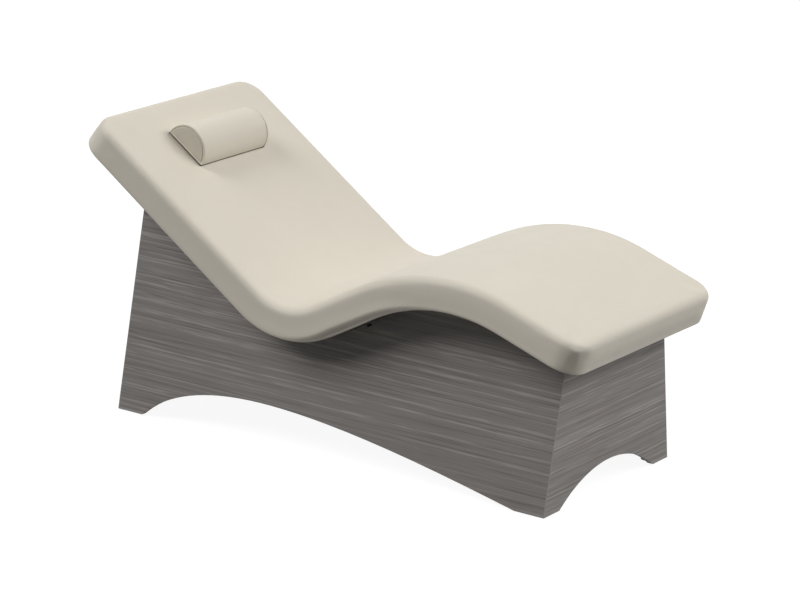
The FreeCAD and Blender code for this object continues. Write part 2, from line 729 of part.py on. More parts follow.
def end_bearer_screw_places():
    """Return the places of the end bearers' screws, into the end panels' top edges."""
    places = []
    for angle, x in ((BACK_ANGLE, BASE_HEAD_X + PANEL_MIDDLE), (LEG_ANGLE, BASE_FOOT_X - PANEL_MIDDLE)):
        z = rail_height(BEARER_TOP, x) - SCREW_HEAD_RADIUS * math.tan(math.radians(angle))
        for share in END_BEARER_SCREW_SHARES:
            places.append((Vec(x, share * side_y(z, BEARER_WIDTH), z), Vec(0, 0, -1)))
    return places


def both_sides(places):
    """Return the left places with their mirror images on the right."""
    others = [(Vec(place.x, -place.y, place.z), Vec(way.x, -way.y, way.z)) for place, way in places]
    return places + others


def at_places(shape, places):
    """Return a copy of a shape at each place, pointing its way."""
    return group([pointed(shape, place, way) for place, way in places])


def block_middle(end):
    """Return the X of a corner block's middle, at the head end for -1 and the foot end for 1."""
    face = BASE_HEAD_X if end < 0 else BASE_FOOT_X
    return face - end * (SKIN_AND_PANEL + BLOCK_SIZE / 2)


def foot_place(end, side):
    """Return the point on the floor under a levelling foot."""
    y = side_y(BLOCK_BOTTOM, SKIN_AND_PANEL + BLOCK_SIZE / 2)
    return Vec(block_middle(end), side * y, 0)


def make_corner_block(end, side):
    """Return a corner block with the bore for its insert and stem."""
    middle = block_middle(end)
    head_face, foot_face = middle - BLOCK_SIZE / 2, middle + BLOCK_SIZE / 2
    piece = side_layer(SKIN_AND_PANEL, SKIN_AND_PANEL + BLOCK_SIZE, head_face, foot_face)
    height = block(head_face, foot_face, 0, HALF_WIDTH, BLOCK_BOTTOM, BLOCK_BOTTOM + BLOCK_HEIGHT)
    place = foot_place(end, 1)
    insert_bore = Part.makeCylinder(INSERT_RADIUS, INSERT_LENGTH + OVERRUN,
                                    place + Vec(0, 0, BLOCK_BOTTOM - OVERRUN))
    stem_top = PAD_HEIGHT + END_CLEARANCE + STEM_COLLAR_HEIGHT + STEM_THREAD_LENGTH
    stem_bore = Part.makeCylinder(STEM_THREAD_RADIUS + END_CLEARANCE, stem_top + STEM_BORE_END_GAP, place)
    piece = piece.common(height).cut(insert_bore).cut(stem_bore)
    return piece if side > 0 else mirrored(piece)


def make_insert(end, side):
    """Return the flanged insert in the bottom of a corner block."""
    place = foot_place(end, side) + Vec(0, 0, BLOCK_BOTTOM)
    body = Part.makeCylinder(INSERT_RADIUS, INSERT_LENGTH, place)
    flange = Part.makeCylinder(INSERT_FLANGE_RADIUS, INSERT_FLANGE_THICKNESS,
                               place - Vec(0, 0, INSERT_FLANGE_THICKNESS))
    bore = Part.makeCylinder(STEM_THREAD_RADIUS + RUNNING_CLEARANCE, INSERT_LENGTH + BLOCK_BOTTOM + OVERRUN,
                             foot_place(end, side))
    return fused([body, flange]).cut(bore)


def make_stem(end, side):
    """Return a levelling stem: disc, neck, hexagonal collar and thread."""
    place = foot_place(end, side)
    disc_low = PAD_FLOOR + END_CLEARANCE
    collar_low = PAD_HEIGHT + END_CLEARANCE
    disc = Part.makeCylinder(STEM_DISC_RADIUS, STEM_DISC_HEIGHT, place + Vec(0, 0, disc_low))
    neck = Part.makeCylinder(STEM_NECK_RADIUS, collar_low - disc_low, place + Vec(0, 0, disc_low))
    collar = hexagon(STEM_COLLAR_ACROSS_FLATS, STEM_COLLAR_HEIGHT).translated(place + Vec(0, 0, collar_low))
    thread = Part.makeCylinder(STEM_THREAD_RADIUS, STEM_COLLAR_HEIGHT + STEM_THREAD_LENGTH,
                               place + Vec(0, 0, collar_low))
    return fused([disc, neck, collar, thread])


def make_pad(end, side):
    """Return a glide pad moulded round the stem's disc and neck."""
    place = foot_place(end, side)
    pad = Part.makeCylinder(PAD_RADIUS, PAD_HEIGHT)
    rims = [edge for edge in pad.Edges if edge.Closed and edge.Curve.TypeId == "Part::GeomCircle"]
    pad = pad.makeFillet(PAD_EDGE_RADIUS, rims)
    pocket = Part.makeCylinder(STEM_DISC_RADIUS + RUNNING_CLEARANCE, STEM_DISC_HEIGHT + 2 * END_CLEARANCE,
                               Vec(0, 0, PAD_FLOOR))
    neck = Part.makeCylinder(STEM_NECK_RADIUS + RUNNING_CLEARANCE, PAD_HEIGHT, Vec(0, 0, PAD_FLOOR))
    return pad.cut(fused([pocket, neck])).translated(place)


def half_round(radius, length, edge_radius, low):
    """Return a half round bar along Y, with its flat face at a height and its end edges rounded."""
    bar = Part.makeCylinder(radius, length, Vec(0, -length / 2, 0), Vec(0, 1, 0))
    bar = bar.common(block(-radius, radius, -length, length, low, radius))
    if edge_radius == 0:
        return bar
    arcs = [edge for edge in bar.Edges if edge.Curve.TypeId == "Part::GeomCircle"]
    ends = [edge for edge in arcs if abs(abs(first_point(edge).y) - length / 2) < CLOSE]
    return bar.makeFillet(edge_radius, ends)


def on_pillow(shape):
    """Return a shape moved from the pillow's own place to the backrest, its flat side down."""
    return placed(shape, PROFILE.at_distance(PILLOW_FROM_HEAD), -PILLOW_LIFT, 0.0)


def make_pillow():
    """Return the pillow's wrap, end caps and foam core."""
    core_end = PILLOW_LENGTH / 2 - PILLOW_CAP_RECESS - COVER_THICKNESS
    core = half_round(PILLOW_RADIUS - COVER_THICKNESS, 2 * core_end,
                      PILLOW_EDGE_RADIUS - COVER_THICKNESS, COVER_THICKNESS)
    wrap = half_round(PILLOW_RADIUS, PILLOW_LENGTH, PILLOW_EDGE_RADIUS, 0.0).cut(core)
    window = half_round(PILLOW_RADIUS - PILLOW_CAP_RIM, PILLOW_LENGTH + 2 * OVERRUN, 0.0, PILLOW_CAP_RIM / 2)
    wrap = wrap.cut(window)
    cap_low = PILLOW_CAP_RIM / 2 + PILLOW_CAP_CLEARANCE
    cap_radius = PILLOW_RADIUS - PILLOW_CAP_RIM - PILLOW_CAP_CLEARANCE
    cap = half_round(cap_radius, COVER_THICKNESS, 0.0, cap_low)
    cap_middle = core_end + COVER_THICKNESS / 2
    return {
        "pillow_wrap": on_pillow(wrap),
        "pillow_cap_left": on_pillow(cap.translated(Vec(0, cap_middle, 0))),
        "pillow_cap_right": on_pillow(cap.translated(Vec(0, -cap_middle, 0))),
        "pillow_core": on_pillow(core),
    }


def strip_pair(low, high):
    """Return two strips across the backrest under the pillow, between two heights over it."""
    half = PILLOW_LENGTH / 2 - STRIP_END_MARGIN
    strips = []
    for side in (-1, 1):
        x = side * STRIP_SPACING / 2
        strip = block(x - STRIP_WIDTH / 2, x + STRIP_WIDTH / 2, -half, half, low, high)
        strips.append(placed(strip, PROFILE.at_distance(PILLOW_FROM_HEAD), 0.0, 0.0))
    return group(strips)


def build():
    """Return every piece by its name."""
    parts = {
        "upholstery_cover": make_cover(),
        "formed_deck": make_deck(),
        "dust_cover": make_dust_cover(),
        "cover_staples": staple_row(COVER_TURN_UNDER - STAPLE_EDGE_MARGIN, CUSHION_THICKNESS),
        "dust_cover_staples": staple_row(COVER_TURN_UNDER + STAPLE_EDGE_MARGIN, BEARER_TOP),
        "tee_nuts": make_tee_nuts(),
        "deck_bolts": make_bolts(),
        "deck_washers": make_washers(),
    }
    parts.update(make_foams())

    holes = []
    for name, length, places in (
            ("panel_screws", PANEL_SCREW_LENGTH, both_sides(panel_screw_places())),
            ("block_screws", BLOCK_SCREW_LENGTH, both_sides(block_screw_places())),
            ("bearer_screws", BEARER_SCREW_LENGTH,
             both_sides(bearer_screw_places()) + end_bearer_screw_places())):
        parts[name] = at_places(countersunk_screw(length), places)
        holes.append(at_places(screw_hole(length), places))
    holes = group(holes)
    core = make_side_layer(LAMINATE_THICKNESS, SKIN_AND_PANEL, BASE_HEAD_X + LAMINATE_THICKNESS,
                           BASE_FOOT_X - LAMINATE_THICKNESS)
    skin = make_side_layer(0.0, LAMINATE_THICKNESS, BASE_HEAD_X, BASE_FOOT_X)
    parts["side_panel_left"] = core.cut(holes)
    parts["side_panel_right"] = mirrored(core).cut(holes)
    parts["side_laminate_left"] = skin
    parts["side_laminate_right"] = mirrored(skin)
    for name, face, way in (("head", BASE_HEAD_X, 1), ("foot", BASE_FOOT_X, -1)):
        skin_low, skin_high = sorted((face, face + way * LAMINATE_THICKNESS))
        panel_low, panel_high = sorted((face + way * LAMINATE_THICKNESS, face + way * SKIN_AND_PANEL))
        parts[name + "_laminate"] = make_end_layer(LAMINATE_THICKNESS, skin_low, skin_high)
        parts[name + "_panel"] = make_end_layer(SKIN_AND_PANEL, panel_low, panel_high).cut(holes)

    for name, x in bulkhead_places().items():
        parts[name] = make_bulkhead(x).cut(holes)

    passages = bolt_holes()
    rail = side_layer(0.0, BEARER_WIDTH, BASE_HEAD_X, BASE_FOOT_X)
    for name, first, last in (("back", SideProfile.BACK, SideProfile.BACK),
                              ("seat", SideProfile.SEAT_BACK, SideProfile.RISE),
                              ("leg", SideProfile.KNEE_UP, SideProfile.LEG)):
        stretch = band(BEARER_TOP, BEARER_BOTTOM, HALF_WIDTH, 0.0, first, last)
        bearer = rail.common(stretch)
        parts["bearer_" + name + "_left"] = bearer.cut(holes).cut(passages)
        parts["bearer_" + name + "_right"] = mirrored(bearer).cut(holes).cut(passages)
    for name, x0, x1 in (("bearer_head", BASE_HEAD_X, BASE_HEAD_X + BEARER_WIDTH),
                         ("bearer_foot", BASE_FOOT_X - BEARER_WIDTH, BASE_FOOT_X)):
        slice_between = between_sides(BEARER_WIDTH + BEARER_JOINT_CLEARANCE, x0, x1)
        parts[name] = slice_between.common(band(BEARER_TOP, BEARER_BOTTOM, HALF_WIDTH)).cut(holes)


    for end_name, end in (("head", -1), ("foot", 1)):
        for side_name, side in (("left", 1), ("right", -1)):
            corner = end_name + "_" + side_name
            parts["corner_block_" + corner] = make_corner_block(end, side).cut(holes)
            parts["leveller_insert_" + corner] = make_insert(end, side)
            parts["leveller_stem_" + corner] = make_stem(end, side)
            parts["leveller_pad_" + corner] = make_pad(end, side)

    parts.update(make_pillow())
    strip_top = (PILLOW_LIFT - STRIP_GAP) / 2
    parts["pillow_loop_strips"] = strip_pair(0.0, strip_top)
    parts["pillow_hook_strips"] = strip_pair(strip_top + STRIP_GAP, PILLOW_LIFT)
    return parts


def main():
    """Write one STEP file for each piece and print the main sizes."""
    os.makedirs("parts", exist_ok=True)
    for name, shape in sorted(build().items()):
        shape.exportStep("parts/" + name + ".step")
        box = shape.BoundBox
        print(name, len(shape.Solids), "solids", round(shape.Volume), "mm3", "valid", shape.isValid(),
              [round(value, 1) for value in (box.XMin, box.XMax, box.YMin, box.YMax, box.ZMin, box.ZMax)])


main()
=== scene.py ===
"""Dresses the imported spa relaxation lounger: upholstery, head pillow, laminated base, fixings,
and the plain studio that it is shown in.

Metres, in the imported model's own frame. +Z is up, +X points to the foot end, and the bed's
top surface is one long curve seen from the side. Soft pieces are shaped flat, in the
lengths along that curve, and then laid onto it.
"""

import logging
import math
from dataclasses import dataclass, field
from enum import Enum

import bpy
import numpy as np
from mathutils import Matrix, Vector


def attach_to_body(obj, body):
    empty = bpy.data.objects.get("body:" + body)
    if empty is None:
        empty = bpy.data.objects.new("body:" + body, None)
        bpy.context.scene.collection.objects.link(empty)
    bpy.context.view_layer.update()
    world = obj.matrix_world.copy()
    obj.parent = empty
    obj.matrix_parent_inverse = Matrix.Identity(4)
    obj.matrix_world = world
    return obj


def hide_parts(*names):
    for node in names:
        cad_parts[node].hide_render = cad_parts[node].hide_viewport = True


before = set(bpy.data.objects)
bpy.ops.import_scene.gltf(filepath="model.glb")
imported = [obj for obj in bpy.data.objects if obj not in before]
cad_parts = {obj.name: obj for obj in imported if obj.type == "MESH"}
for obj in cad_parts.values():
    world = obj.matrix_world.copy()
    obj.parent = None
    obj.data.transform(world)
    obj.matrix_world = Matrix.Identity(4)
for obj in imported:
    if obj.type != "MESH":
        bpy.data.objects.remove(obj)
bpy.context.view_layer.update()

LOG = logging.getLogger("lounger")
MOST_PARTS = 100
SMALL = 1e-6
TINY = 1e-9
HELD = "held"
WHITE = (1.0, 1.0, 1.0, 1.0)

Piece = bpy.types.Object
Material = bpy.types.Material
Socket = bpy.types.NodeSocket
Span = tuple[float, float]
Way = tuple[float, float, float]
Colour = tuple[float, float, float, float]


class Axis(Enum):
    """The three directions that a block's edges run in."""

    X = 0
    Y = 1
    Z = 2


class Side(Enum):
    """The two ends of the pillow, by the sign of Y there."""

    LEFT = 1
    RIGHT = -1


class Part(Enum):
    """The kinds of mesh parts, by the names of their selection modes."""

    VERTICES = "VERT"
    EDGES = "EDGE"
    FACES = "FACE"


# ---------------------------------------------------------------- side profile


@dataclass(frozen=True)
class Stretch:
    """One stretch of the side profile, straight with a length or round with a radius."""

    length: float = 0.0
    radius: float = 0.0
    turn: float = 0.0

    def run(self, depth: float = 0.0) -> float:
        """Return its length along the curve that lies at a depth under the top surface.

        Args:
            depth: how far under the top surface the curve lies.

        Returns:
            The length.
        """
        if self.radius == 0:
            return self.length
        return (self.radius + math.copysign(depth, self.turn)) * math.radians(abs(self.turn))


@dataclass(frozen=True)
class Station:
    """A point of the top surface's curve, its heading, and its distance from the head end."""

    x: float
    z: float
    heading: float
    distance: float


@dataclass
class SideProfile:
    """The long curve of the bed's top surface, seen from the side.

    The stretches run from the head end: back, seat dip, knee rise, knee crown and leg end.
    """

    back_angle: float = 34.5
    seat_height: float = 0.4596
    thickness: float = 0.0988
    top_edge: float = 0.026
    bottom_edge: float = 0.009
    stretches: tuple[Stretch, ...] = (
        Stretch(length=0.744),
        Stretch(radius=0.184, turn=34.5),
        Stretch(radius=0.181, turn=29.1),
        Stretch(length=0.183),
        Stretch(radius=0.638, turn=-29.1),
        Stretch(radius=0.638, turn=-18.4),
        Stretch(length=0.2626),
    )
    lowest: int = 2
    starts: list[Station] = field(default_factory=list)

    def __post_init__(self) -> None:
        """Walk the curve once to find its middle and its lowest point, and again in place."""
        self.walk(0.0, 0.0)
        low, high = [], []
        for radius, depth in ((self.top_edge, self.top_edge),
                              (self.bottom_edge, self.thickness - self.bottom_edge)):
            ends, _ = self.lay(np.array([radius, self.length - radius]), np.array([depth, depth]))
            low.append(ends[0] - radius)
            high.append(ends[1] + radius)
        self.walk(-(min(low) + max(high)) / 2, self.seat_height - self.starts[self.lowest].z)

    @property
    def length(self) -> float:
        """The top surface's length from end to end."""
        return sum(stretch.run() for stretch in self.stretches)

    def walk(self, x: float, z: float) -> None:
        """Find where each stretch starts, with the head end at one place.

        Args:
            x: the head end's place along the bed.
            z: the head end's height.
        """
        heading, distance = -math.radians(self.back_angle), 0.0
        self.starts = []
        for stretch in self.stretches:
            self.starts.append(Station(x, z, heading, distance))
            turn = math.radians(stretch.turn)
            round_chord = 2 * stretch.radius * math.sin(abs(turn) / 2)
            chord = stretch.length if turn == 0 else round_chord
            x += chord * math.cos(heading + turn / 2)
            z += chord * math.sin(heading + turn / 2)
            heading += turn
            distance += stretch.run()

    def lay(self, along: np.ndarray, depth: np.ndarray) -> tuple[np.ndarray, np.ndarray]:
        """Lay flat points onto the curve.

        Args:
            along: distances from the head end along the top surface.
            depth: depths straight under the top surface.

        Returns:
            The points' X and Z.
        """
        x, z, heading = np.zeros_like(along), np.zeros_like(along), np.zeros_like(along)
        for stretch, start in zip(self.stretches, self.starts):
            here = along >= start.distance if start.distance > 0 else np.ones_like(along, bool)
            run = along[here] - start.distance
            if stretch.radius == 0:
                turn, chord = np.zeros_like(run), run
            else:
                turn = np.copysign(run / stretch.radius, stretch.turn)
                chord = 2 * stretch.radius * np.sin(run / stretch.radius / 2)
            x[here] = start.x + chord * np.cos(start.heading + turn / 2)
            z[here] = start.z + chord * np.sin(start.heading + turn / 2)
            heading[here] = start.heading + turn
        return x + np.sin(heading) * depth, z - np.cos(heading) * depth

    def length_at(self, depth: float, inset: float) -> float:
        """Return the curve's length at a depth, without an inset at each end."""
        return sum(stretch.run(depth) for stretch in self.stretches) - 2 * inset

    def tilt_at(self, distance: float) -> Matrix:
        """Return the place and turn of a point of the top surface, its Z along the normal.

        Args:
            distance: how far the point is from the head end.

        Returns:
            The place and the turn.
        """
        ends, heights = self.lay(np.array([distance, distance]), np.array([0.0, -1.0]))
        normal = Vector((ends[1] - ends[0], 0.0, heights[1] - heights[0]))
        across = Vector((0.0, 1.0, 0.0))
        turn = Matrix((across.cross(normal), across, normal)).transposed().to_4x4()
        return Matrix.Translation((ends[0], 0.0, heights[0])) @ turn


# ---------------------------------------------------------------- modelling by hand


def deselect_all() -> None:
    """Leave nothing selected, in object mode."""
    if bpy.context.object is not None and bpy.context.object.mode != "OBJECT":
        bpy.ops.object.mode_set(mode="OBJECT")
    bpy.ops.object.select_all(action="DESELECT")


def make_active(piece: Piece) -> None:
    """Select one piece alone and make it the active one.

    Args:
        piece: the piece.
    """
    deselect_all()
    piece.select_set(True)
    bpy.context.view_layer.objects.active = piece


def name_new(name: str) -> Piece:
    """Name the piece that was just added, and return it.

    Args:
        name: the name, which its mesh gets too.

    Returns:
        The piece.
    """
    piece = bpy.context.object
    piece.name = piece.data.name = name
    return piece


def apply_place(piece: Piece) -> None:
    """Move a piece's place, turn and scale into its mesh."""
    make_active(piece)
    bpy.ops.object.transform_apply(location=True, rotation=True, scale=True)


def finish_modifier(piece: Piece, modifier: bpy.types.Modifier) -> None:
    """Apply one modifier of a piece."""
    make_active(piece)
    bpy.ops.object.modifier_apply(modifier=modifier.name)


def points_of(piece: Piece) -> np.ndarray:
    """Return the places of a piece's vertices, one row each.

    Args:
        piece: the piece.

    Returns:
        The X, Y and Z of each vertex.
    """
    flat = np.zeros(len(piece.data.vertices) * 3)
    piece.data.vertices.foreach_get("co", flat)
    return flat.reshape(-1, 3)


def move_points(piece: Piece, points: np.ndarray) -> None:
    """Put a piece's vertices at new places."""
    piece.data.vertices.foreach_set("co", points.ravel())
    piece.data.update()


def open_edit(piece: Piece, kind: Part = Part.VERTICES,
              wanted: np.ndarray | list[bool] | None = None) -> None:
    """Open a piece in edit mode, with some or all of its parts selected.

    Args:
        piece: the piece.
        kind: the kind of parts.
        wanted: which of them are selected, in the mesh's own order, or None for all.
    """
    make_active(piece)
    bpy.ops.object.mode_set(mode="EDIT")
    bpy.ops.mesh.select_mode(type=kind.value)
    bpy.ops.mesh.select_all(action="SELECT" if wanted is None else "DESELECT")
    if wanted is not None:
        close_edit()
        mesh = piece.data
        parts = {Part.VERTICES: mesh.vertices, Part.EDGES: mesh.edges, Part.FACES: mesh.polygons}
        for part, chosen in zip(parts[kind], wanted):
            part.select = bool(chosen)
        bpy.ops.object.mode_set(mode="EDIT")


def close_edit() -> None:
    """Go back from edit mode to object mode."""
    bpy.ops.object.mode_set(mode="OBJECT")


def open_edges(piece: Piece, axis: Axis) -> None:
    """Open a block in edit mode, with the edges selected that run along one axis.

    Args:
        piece: the block.
        axis: the direction of the edges.
    """
    points = points_of(piece)
    ends = np.array([tuple(edge.vertices) for edge in piece.data.edges])
    steps = np.abs(points[ends[:, 1]] - points[ends[:, 0]])
    open_edit(piece, Part.EDGES, np.argmax(steps, axis=1) == axis.value)


def add_block(name: str, middle: Way, size: Way) -> Piece:
    """Add a plain block by its middle and its size.

    Args:
        name: the name.
        middle: the place of its middle.
        size: its size along X, Y and Z.

    Returns:
        The block.
    """
    deselect_all()
    bpy.ops.mesh.primitive_cube_add(size=1.0, location=middle)
    piece = name_new(name)
    piece.scale = size
    apply_place(piece)
    return piece


def cutting_rounds(parts: int) -> list[int]:
    """Return how many parts each round of cuts makes, one round being good for 100 cuts.

    Args:
        parts: how many parts the block is cut in.

    Returns:
        The parts that each one is cut in, round by round.
    """
    if parts == 1:
        return []
    return [parts] if parts <= MOST_PARTS else [2, parts // 2]


def ruled_block(name: str, lines: tuple[list[float], list[float], list[float]]) -> Piece:
    """Make a block whose surface is ruled by lines at given places along each axis.

    Args:
        name: the piece's name.
        lines: the places of the lines along X, Y and Z, in rising order, with an even
            number of gaps where there are more than 100.

    Returns:
        The block, a closed mesh of four-sided faces.
    """
    counts = [len(places) - 1 for places in lines]
    piece = add_block(name, tuple(count / 2 for count in counts), tuple(counts))
    for axis in Axis:
        for parts in cutting_rounds(counts[axis.value]):
            open_edges(piece, axis)
            bpy.ops.mesh.subdivide(number_cuts=parts - 1)
            close_edit()
    steps = np.rint(points_of(piece)).astype(int)
    places = [np.array(lines[axis.value])[steps[:, axis.value]] for axis in Axis]
    move_points(piece, np.stack(places, axis=1))
    return piece


def spread(start: float, end: float, step: float) -> list[float]:
    """Return evenly spaced places from a start to an end, about a step apart."""
    count = max(1, round((end - start) / step))
    return [start + (end - start) * index / count for index in range(count + 1)]


def joined(*runs: list[float]) -> list[float]:
    """Return runs of places as one, without the places that two runs share.

    Args:
        runs: the runs, each of which starts where the last one ends.

    Returns:
        All the places in order.
    """
    places = list(runs[0])
    for run in runs[1:]:
        places.extend(run[1:])
    return places


def divisor(values: np.ndarray) -> np.ndarray:
    """Return lengths to divide by, with 1 in place of each 0."""
    return np.where(values > 0, values, 1.0)


def share_of(values: np.ndarray) -> np.ndarray:
    """Return values kept between 0 and 1."""
    return np.clip(values, 0.0, 1.0)


def soften(first: np.ndarray, second: np.ndarray) -> np.ndarray:
    """Return the factor that turns a square corner's offsets into a round corner's."""
    length = np.hypot(first, second)
    return np.where(length > 0, np.maximum(first, second) / divisor(length), 1.0)


def round_rim(inset: np.ndarray, depth: np.ndarray, rim: float) -> tuple[np.ndarray, np.ndarray]:
    """Round the rim where a side meets a face.

    Args:
        inset: how far each point is from the side.
        depth: how far each point is from the face.
        rim: the rim's radius.

    Returns:
        The points' new distances from the side and from the face.
    """
    reach, rise = np.maximum(0.0, rim - inset), np.maximum(0.0, rim - depth)
    both = (reach > 0) & (rise > 0)
    factor = soften(reach, rise)
    return np.where(both, rim - reach * factor, inset), np.where(both, rim - rise * factor, depth)


@dataclass
class PaddedSlab:
    """A long flat pad with round corners seen from above and round rims."""

    name: str
    profile: SideProfile
    start: float
    end: float
    half_width: float
    top: float
    bottom: float
    corner: float
    top_rim: float = 0.0
    bottom_rim: float = 0.0
    band: float = 0.0
    step: float = 0.016
    rim_step: float = 0.006
    corner_step: float = 0.009
    band_step: float = 0.003
    rim_parts: int = 4
    flat: np.ndarray = field(init=False, repr=False)

    def lines_between(self, start: float, end: float) -> list[float]:
        """Return ruling lines, close together near both ends, with an even number of gaps.

        Args:
            start: the first line's place.
            end: the last line's place.

        Returns:
            The places.
        """
        rim = max(self.top_rim, self.corner / 3)
        near = [start]
        if self.bottom_rim > 0:
            near = spread(start, start + self.bottom_rim, self.bottom_rim / self.rim_parts)
        near = joined(near, spread(near[-1], start + rim, self.rim_step),
                      spread(start + rim, start + self.corner, self.corner_step))
        near = joined(near, spread(near[-1], (start + end) / 2, self.step))
        return joined(near, [start + end - place for place in reversed(near)])

    def depth_lines(self) -> list[float]:
        """Return the depths of the ruling lines, close together at the rims and in the band.

        Returns:
            The depths in rising order.
        """
        if max(self.top_rim, self.bottom_rim) == 0:
            return [self.top, self.bottom]
        upper, lower = self.top + self.top_rim, self.bottom - self.bottom_rim
        low = self.bottom - max(self.bottom_rim, self.band)
        return joined(spread(self.top, upper, self.top_rim / self.rim_parts),
                      spread(upper, low, self.step), spread(low, lower, self.band_step),
                      spread(lower, self.bottom, self.bottom_rim / self.rim_parts))

    def round_plan(self, points: np.ndarray) -> tuple[np.ndarray, np.ndarray, np.ndarray]:
        """Round the four corners seen from above.

        Args:
            points: the block's points, whatever their Z is.

        Returns:
            Each point's inner centre, its way outwards, and how far it is from the edge.
        """
        middle = np.array([(self.start + self.end) / 2, 0.0])
        half = np.array([(self.end - self.start) / 2, self.half_width]) - self.corner
        offset = points[:, :2] - middle
        inner = np.clip(offset, -half, half)
        out = offset - inner
        length = np.hypot(out[:, 0], out[:, 1])
        reach = np.abs(out).max(axis=1)
        inset = np.where(length > 0, self.corner - reach, self.corner)
        return middle + inner, out / divisor(length)[:, None], inset

    def shaped(self, points: np.ndarray) -> np.ndarray:
        """Return flat block points as points of the rounded pad, still flat.

        Args:
            points: the block's points, with depths for Z.

        Returns:
            The pad's points.
        """
        centre, way, inset = self.round_plan(points)
        depth = points[:, 2]
        for rim, face, side in ((self.top_rim, self.top, 1.0),
                                (self.bottom_rim, self.bottom, -1.0)):
            inset, inside = round_rim(inset, (depth - face) * side, rim)
            depth = face + side * inside
        return np.column_stack([centre + way * (self.corner - inset)[:, None], depth])

    def drawn_in(self, flat: np.ndarray) -> np.ndarray:
        """Return the flat points with any drawing in of the sides, none on a plain pad."""
        return flat

    def build(self) -> Piece:
        """Return the pad, shaped and laid onto the side profile.

        Returns:
            The pad.
        """
        piece = ruled_block(self.name, (
            self.lines_between(self.start, self.end),
            self.lines_between(-self.half_width, self.half_width),
            [-depth for depth in reversed(self.depth_lines())],
        ))
        points = points_of(piece)
        points[:, 2] *= -1
        self.flat = self.drawn_in(self.shaped(points))
        x, z = self.profile.lay(self.flat[:, 0], self.flat[:, 2])
        move_points(piece, np.column_stack([x, self.flat[:, 1], z]))
        return piece


@dataclass
class TuckedSlab(PaddedSlab):
    """A padded slab whose long sides are drawn in above the bottom, most at the knee rise."""

    tuck: float = 0.0016
    tuck_height: float = 0.011
    tuck_start: float = 0.75
    tuck_curve: float = 1.4
    rise_tuck: float = 0.012
    rise_height: float = 0.019
    rise_sag: float = 0.0092
    rise_start: float = 0.83
    rise_middle: float = 0.99
    rise_end: float = 1.45
    sag_reach: float = 0.055
    sag_curve: float = 0.5
    side_gain: float = 1.6

    def rise_share(self, along: np.ndarray) -> np.ndarray:
        """Return how far each point is in the knee rise, from 0 outside to 1 at its middle.

        Args:
            along: the points' distances from the head end.

        Returns:
            The shares.
        """
        climb = (along - self.rise_start) / (self.rise_middle - self.rise_start)
        fall = (self.rise_end - along) / (self.rise_end - self.rise_middle)
        share = share_of(np.minimum(climb, fall))
        return share * share * (3 - 2 * share)

    def drawn_in(self, flat: np.ndarray) -> np.ndarray:
        """Draw the sides in above the bottom rim, which hangs lower at the knee rise.

        Args:
            flat: the pad's points, with depths for Z.

        Returns:
            The new points.
        """
        way = self.round_plan(flat)[1]
        share = self.rise_share(flat[:, 0])
        tuck = self.tuck + (self.rise_tuck - self.tuck) * share
        height = self.tuck_height + (self.rise_height - self.tuck_height) * share
        low = share_of((flat[:, 2] - (self.bottom - height)) / height)
        from_side = self.half_width - np.abs(flat[:, 1])
        at_side = share_of(1 - from_side / self.sag_reach)
        full = share_of(low / self.tuck_start) ** self.tuck_curve
        inwards = full * tuck * way[:, 1] ** 2 * share_of(at_side * self.side_gain)
        drawn = flat.copy()
        drawn[:, 1] -= np.sign(flat[:, 1]) * inwards
        drawn[:, 2] += low * self.rise_sag * share * at_side ** self.sag_curve
        return drawn


def shade_by_angle(piece: Piece, degrees: float = 40.0) -> None:
    """Shade a piece smooth, except across edges sharper than an angle."""
    make_active(piece)
    bpy.ops.object.shade_smooth_by_angle(angle=math.radians(degrees))


def refine(piece: Piece) -> None:
    """Round a piece's surface, with each face cut in four.

    Args:
        piece: the piece.
    """
    modifier = piece.modifiers.new("Refine", "SUBSURF")
    modifier.levels = modifier.render_levels = 1
    finish_modifier(piece, modifier)


@dataclass(frozen=True)
class Stuffing:
    """How a stuffed piece swells inside its cover."""

    pressure: float
    tension: float
    bending: float
    mass: float = 0.3
    quality: int = 5
    frames: int = 20

    def swell(self, piece: Piece, held: np.ndarray, give: np.ndarray) -> None:
        """Blow a piece up as cloth, and ease each point's way to what the cover gives.

        Args:
            piece: the closed piece.
            held: which vertices rest on something and stay.
            give: how far each vertex may move, in metres.
        """
        before = points_of(piece)
        group = piece.vertex_groups.new(name=HELD)
        group.add([int(index) for index in np.flatnonzero(held)], 1.0, "REPLACE")
        modifier = piece.modifiers.new("Swell", "CLOTH")
        cloth = modifier.settings
        cloth.quality = self.quality
        cloth.mass = self.mass
        cloth.tension_stiffness = cloth.compression_stiffness = self.tension
        cloth.shear_stiffness = self.tension / 3
        cloth.bending_stiffness = self.bending
        cloth.use_pressure = True
        cloth.uniform_pressure_force = self.pressure
        cloth.effector_weights.gravity = 0.0
        cloth.vertex_group_mass = HELD
        modifier.point_cache.frame_start = 1
        modifier.point_cache.frame_end = self.frames
        for number in range(1, self.frames + 1):
            bpy.context.scene.frame_set(number)
        finish_modifier(piece, modifier)
        bpy.context.scene.frame_set(1)
        piece.vertex_groups.remove(piece.vertex_groups[HELD])
        move = points_of(piece) - before
        far = np.linalg.norm(move, axis=1)
        LOG.info("%s swelled by up to %.1f mm before its cover held it",
                 piece.name, far.max() * 1000)
        eased = give * (1 - np.exp(-far / give))
        move_points(piece, before + move * (eased / np.maximum(far, TINY))[:, None])


# ---------------------------------------------------------------- materials


class Effect(Enum):
    """The shared effects, by the names of their node groups."""

    PEBBLE = "pebbled_grain"
    STREAKS = "long_streaks"
    MOTTLE = "slow_mottle"
    CORNERS = "panel_corner_wear"


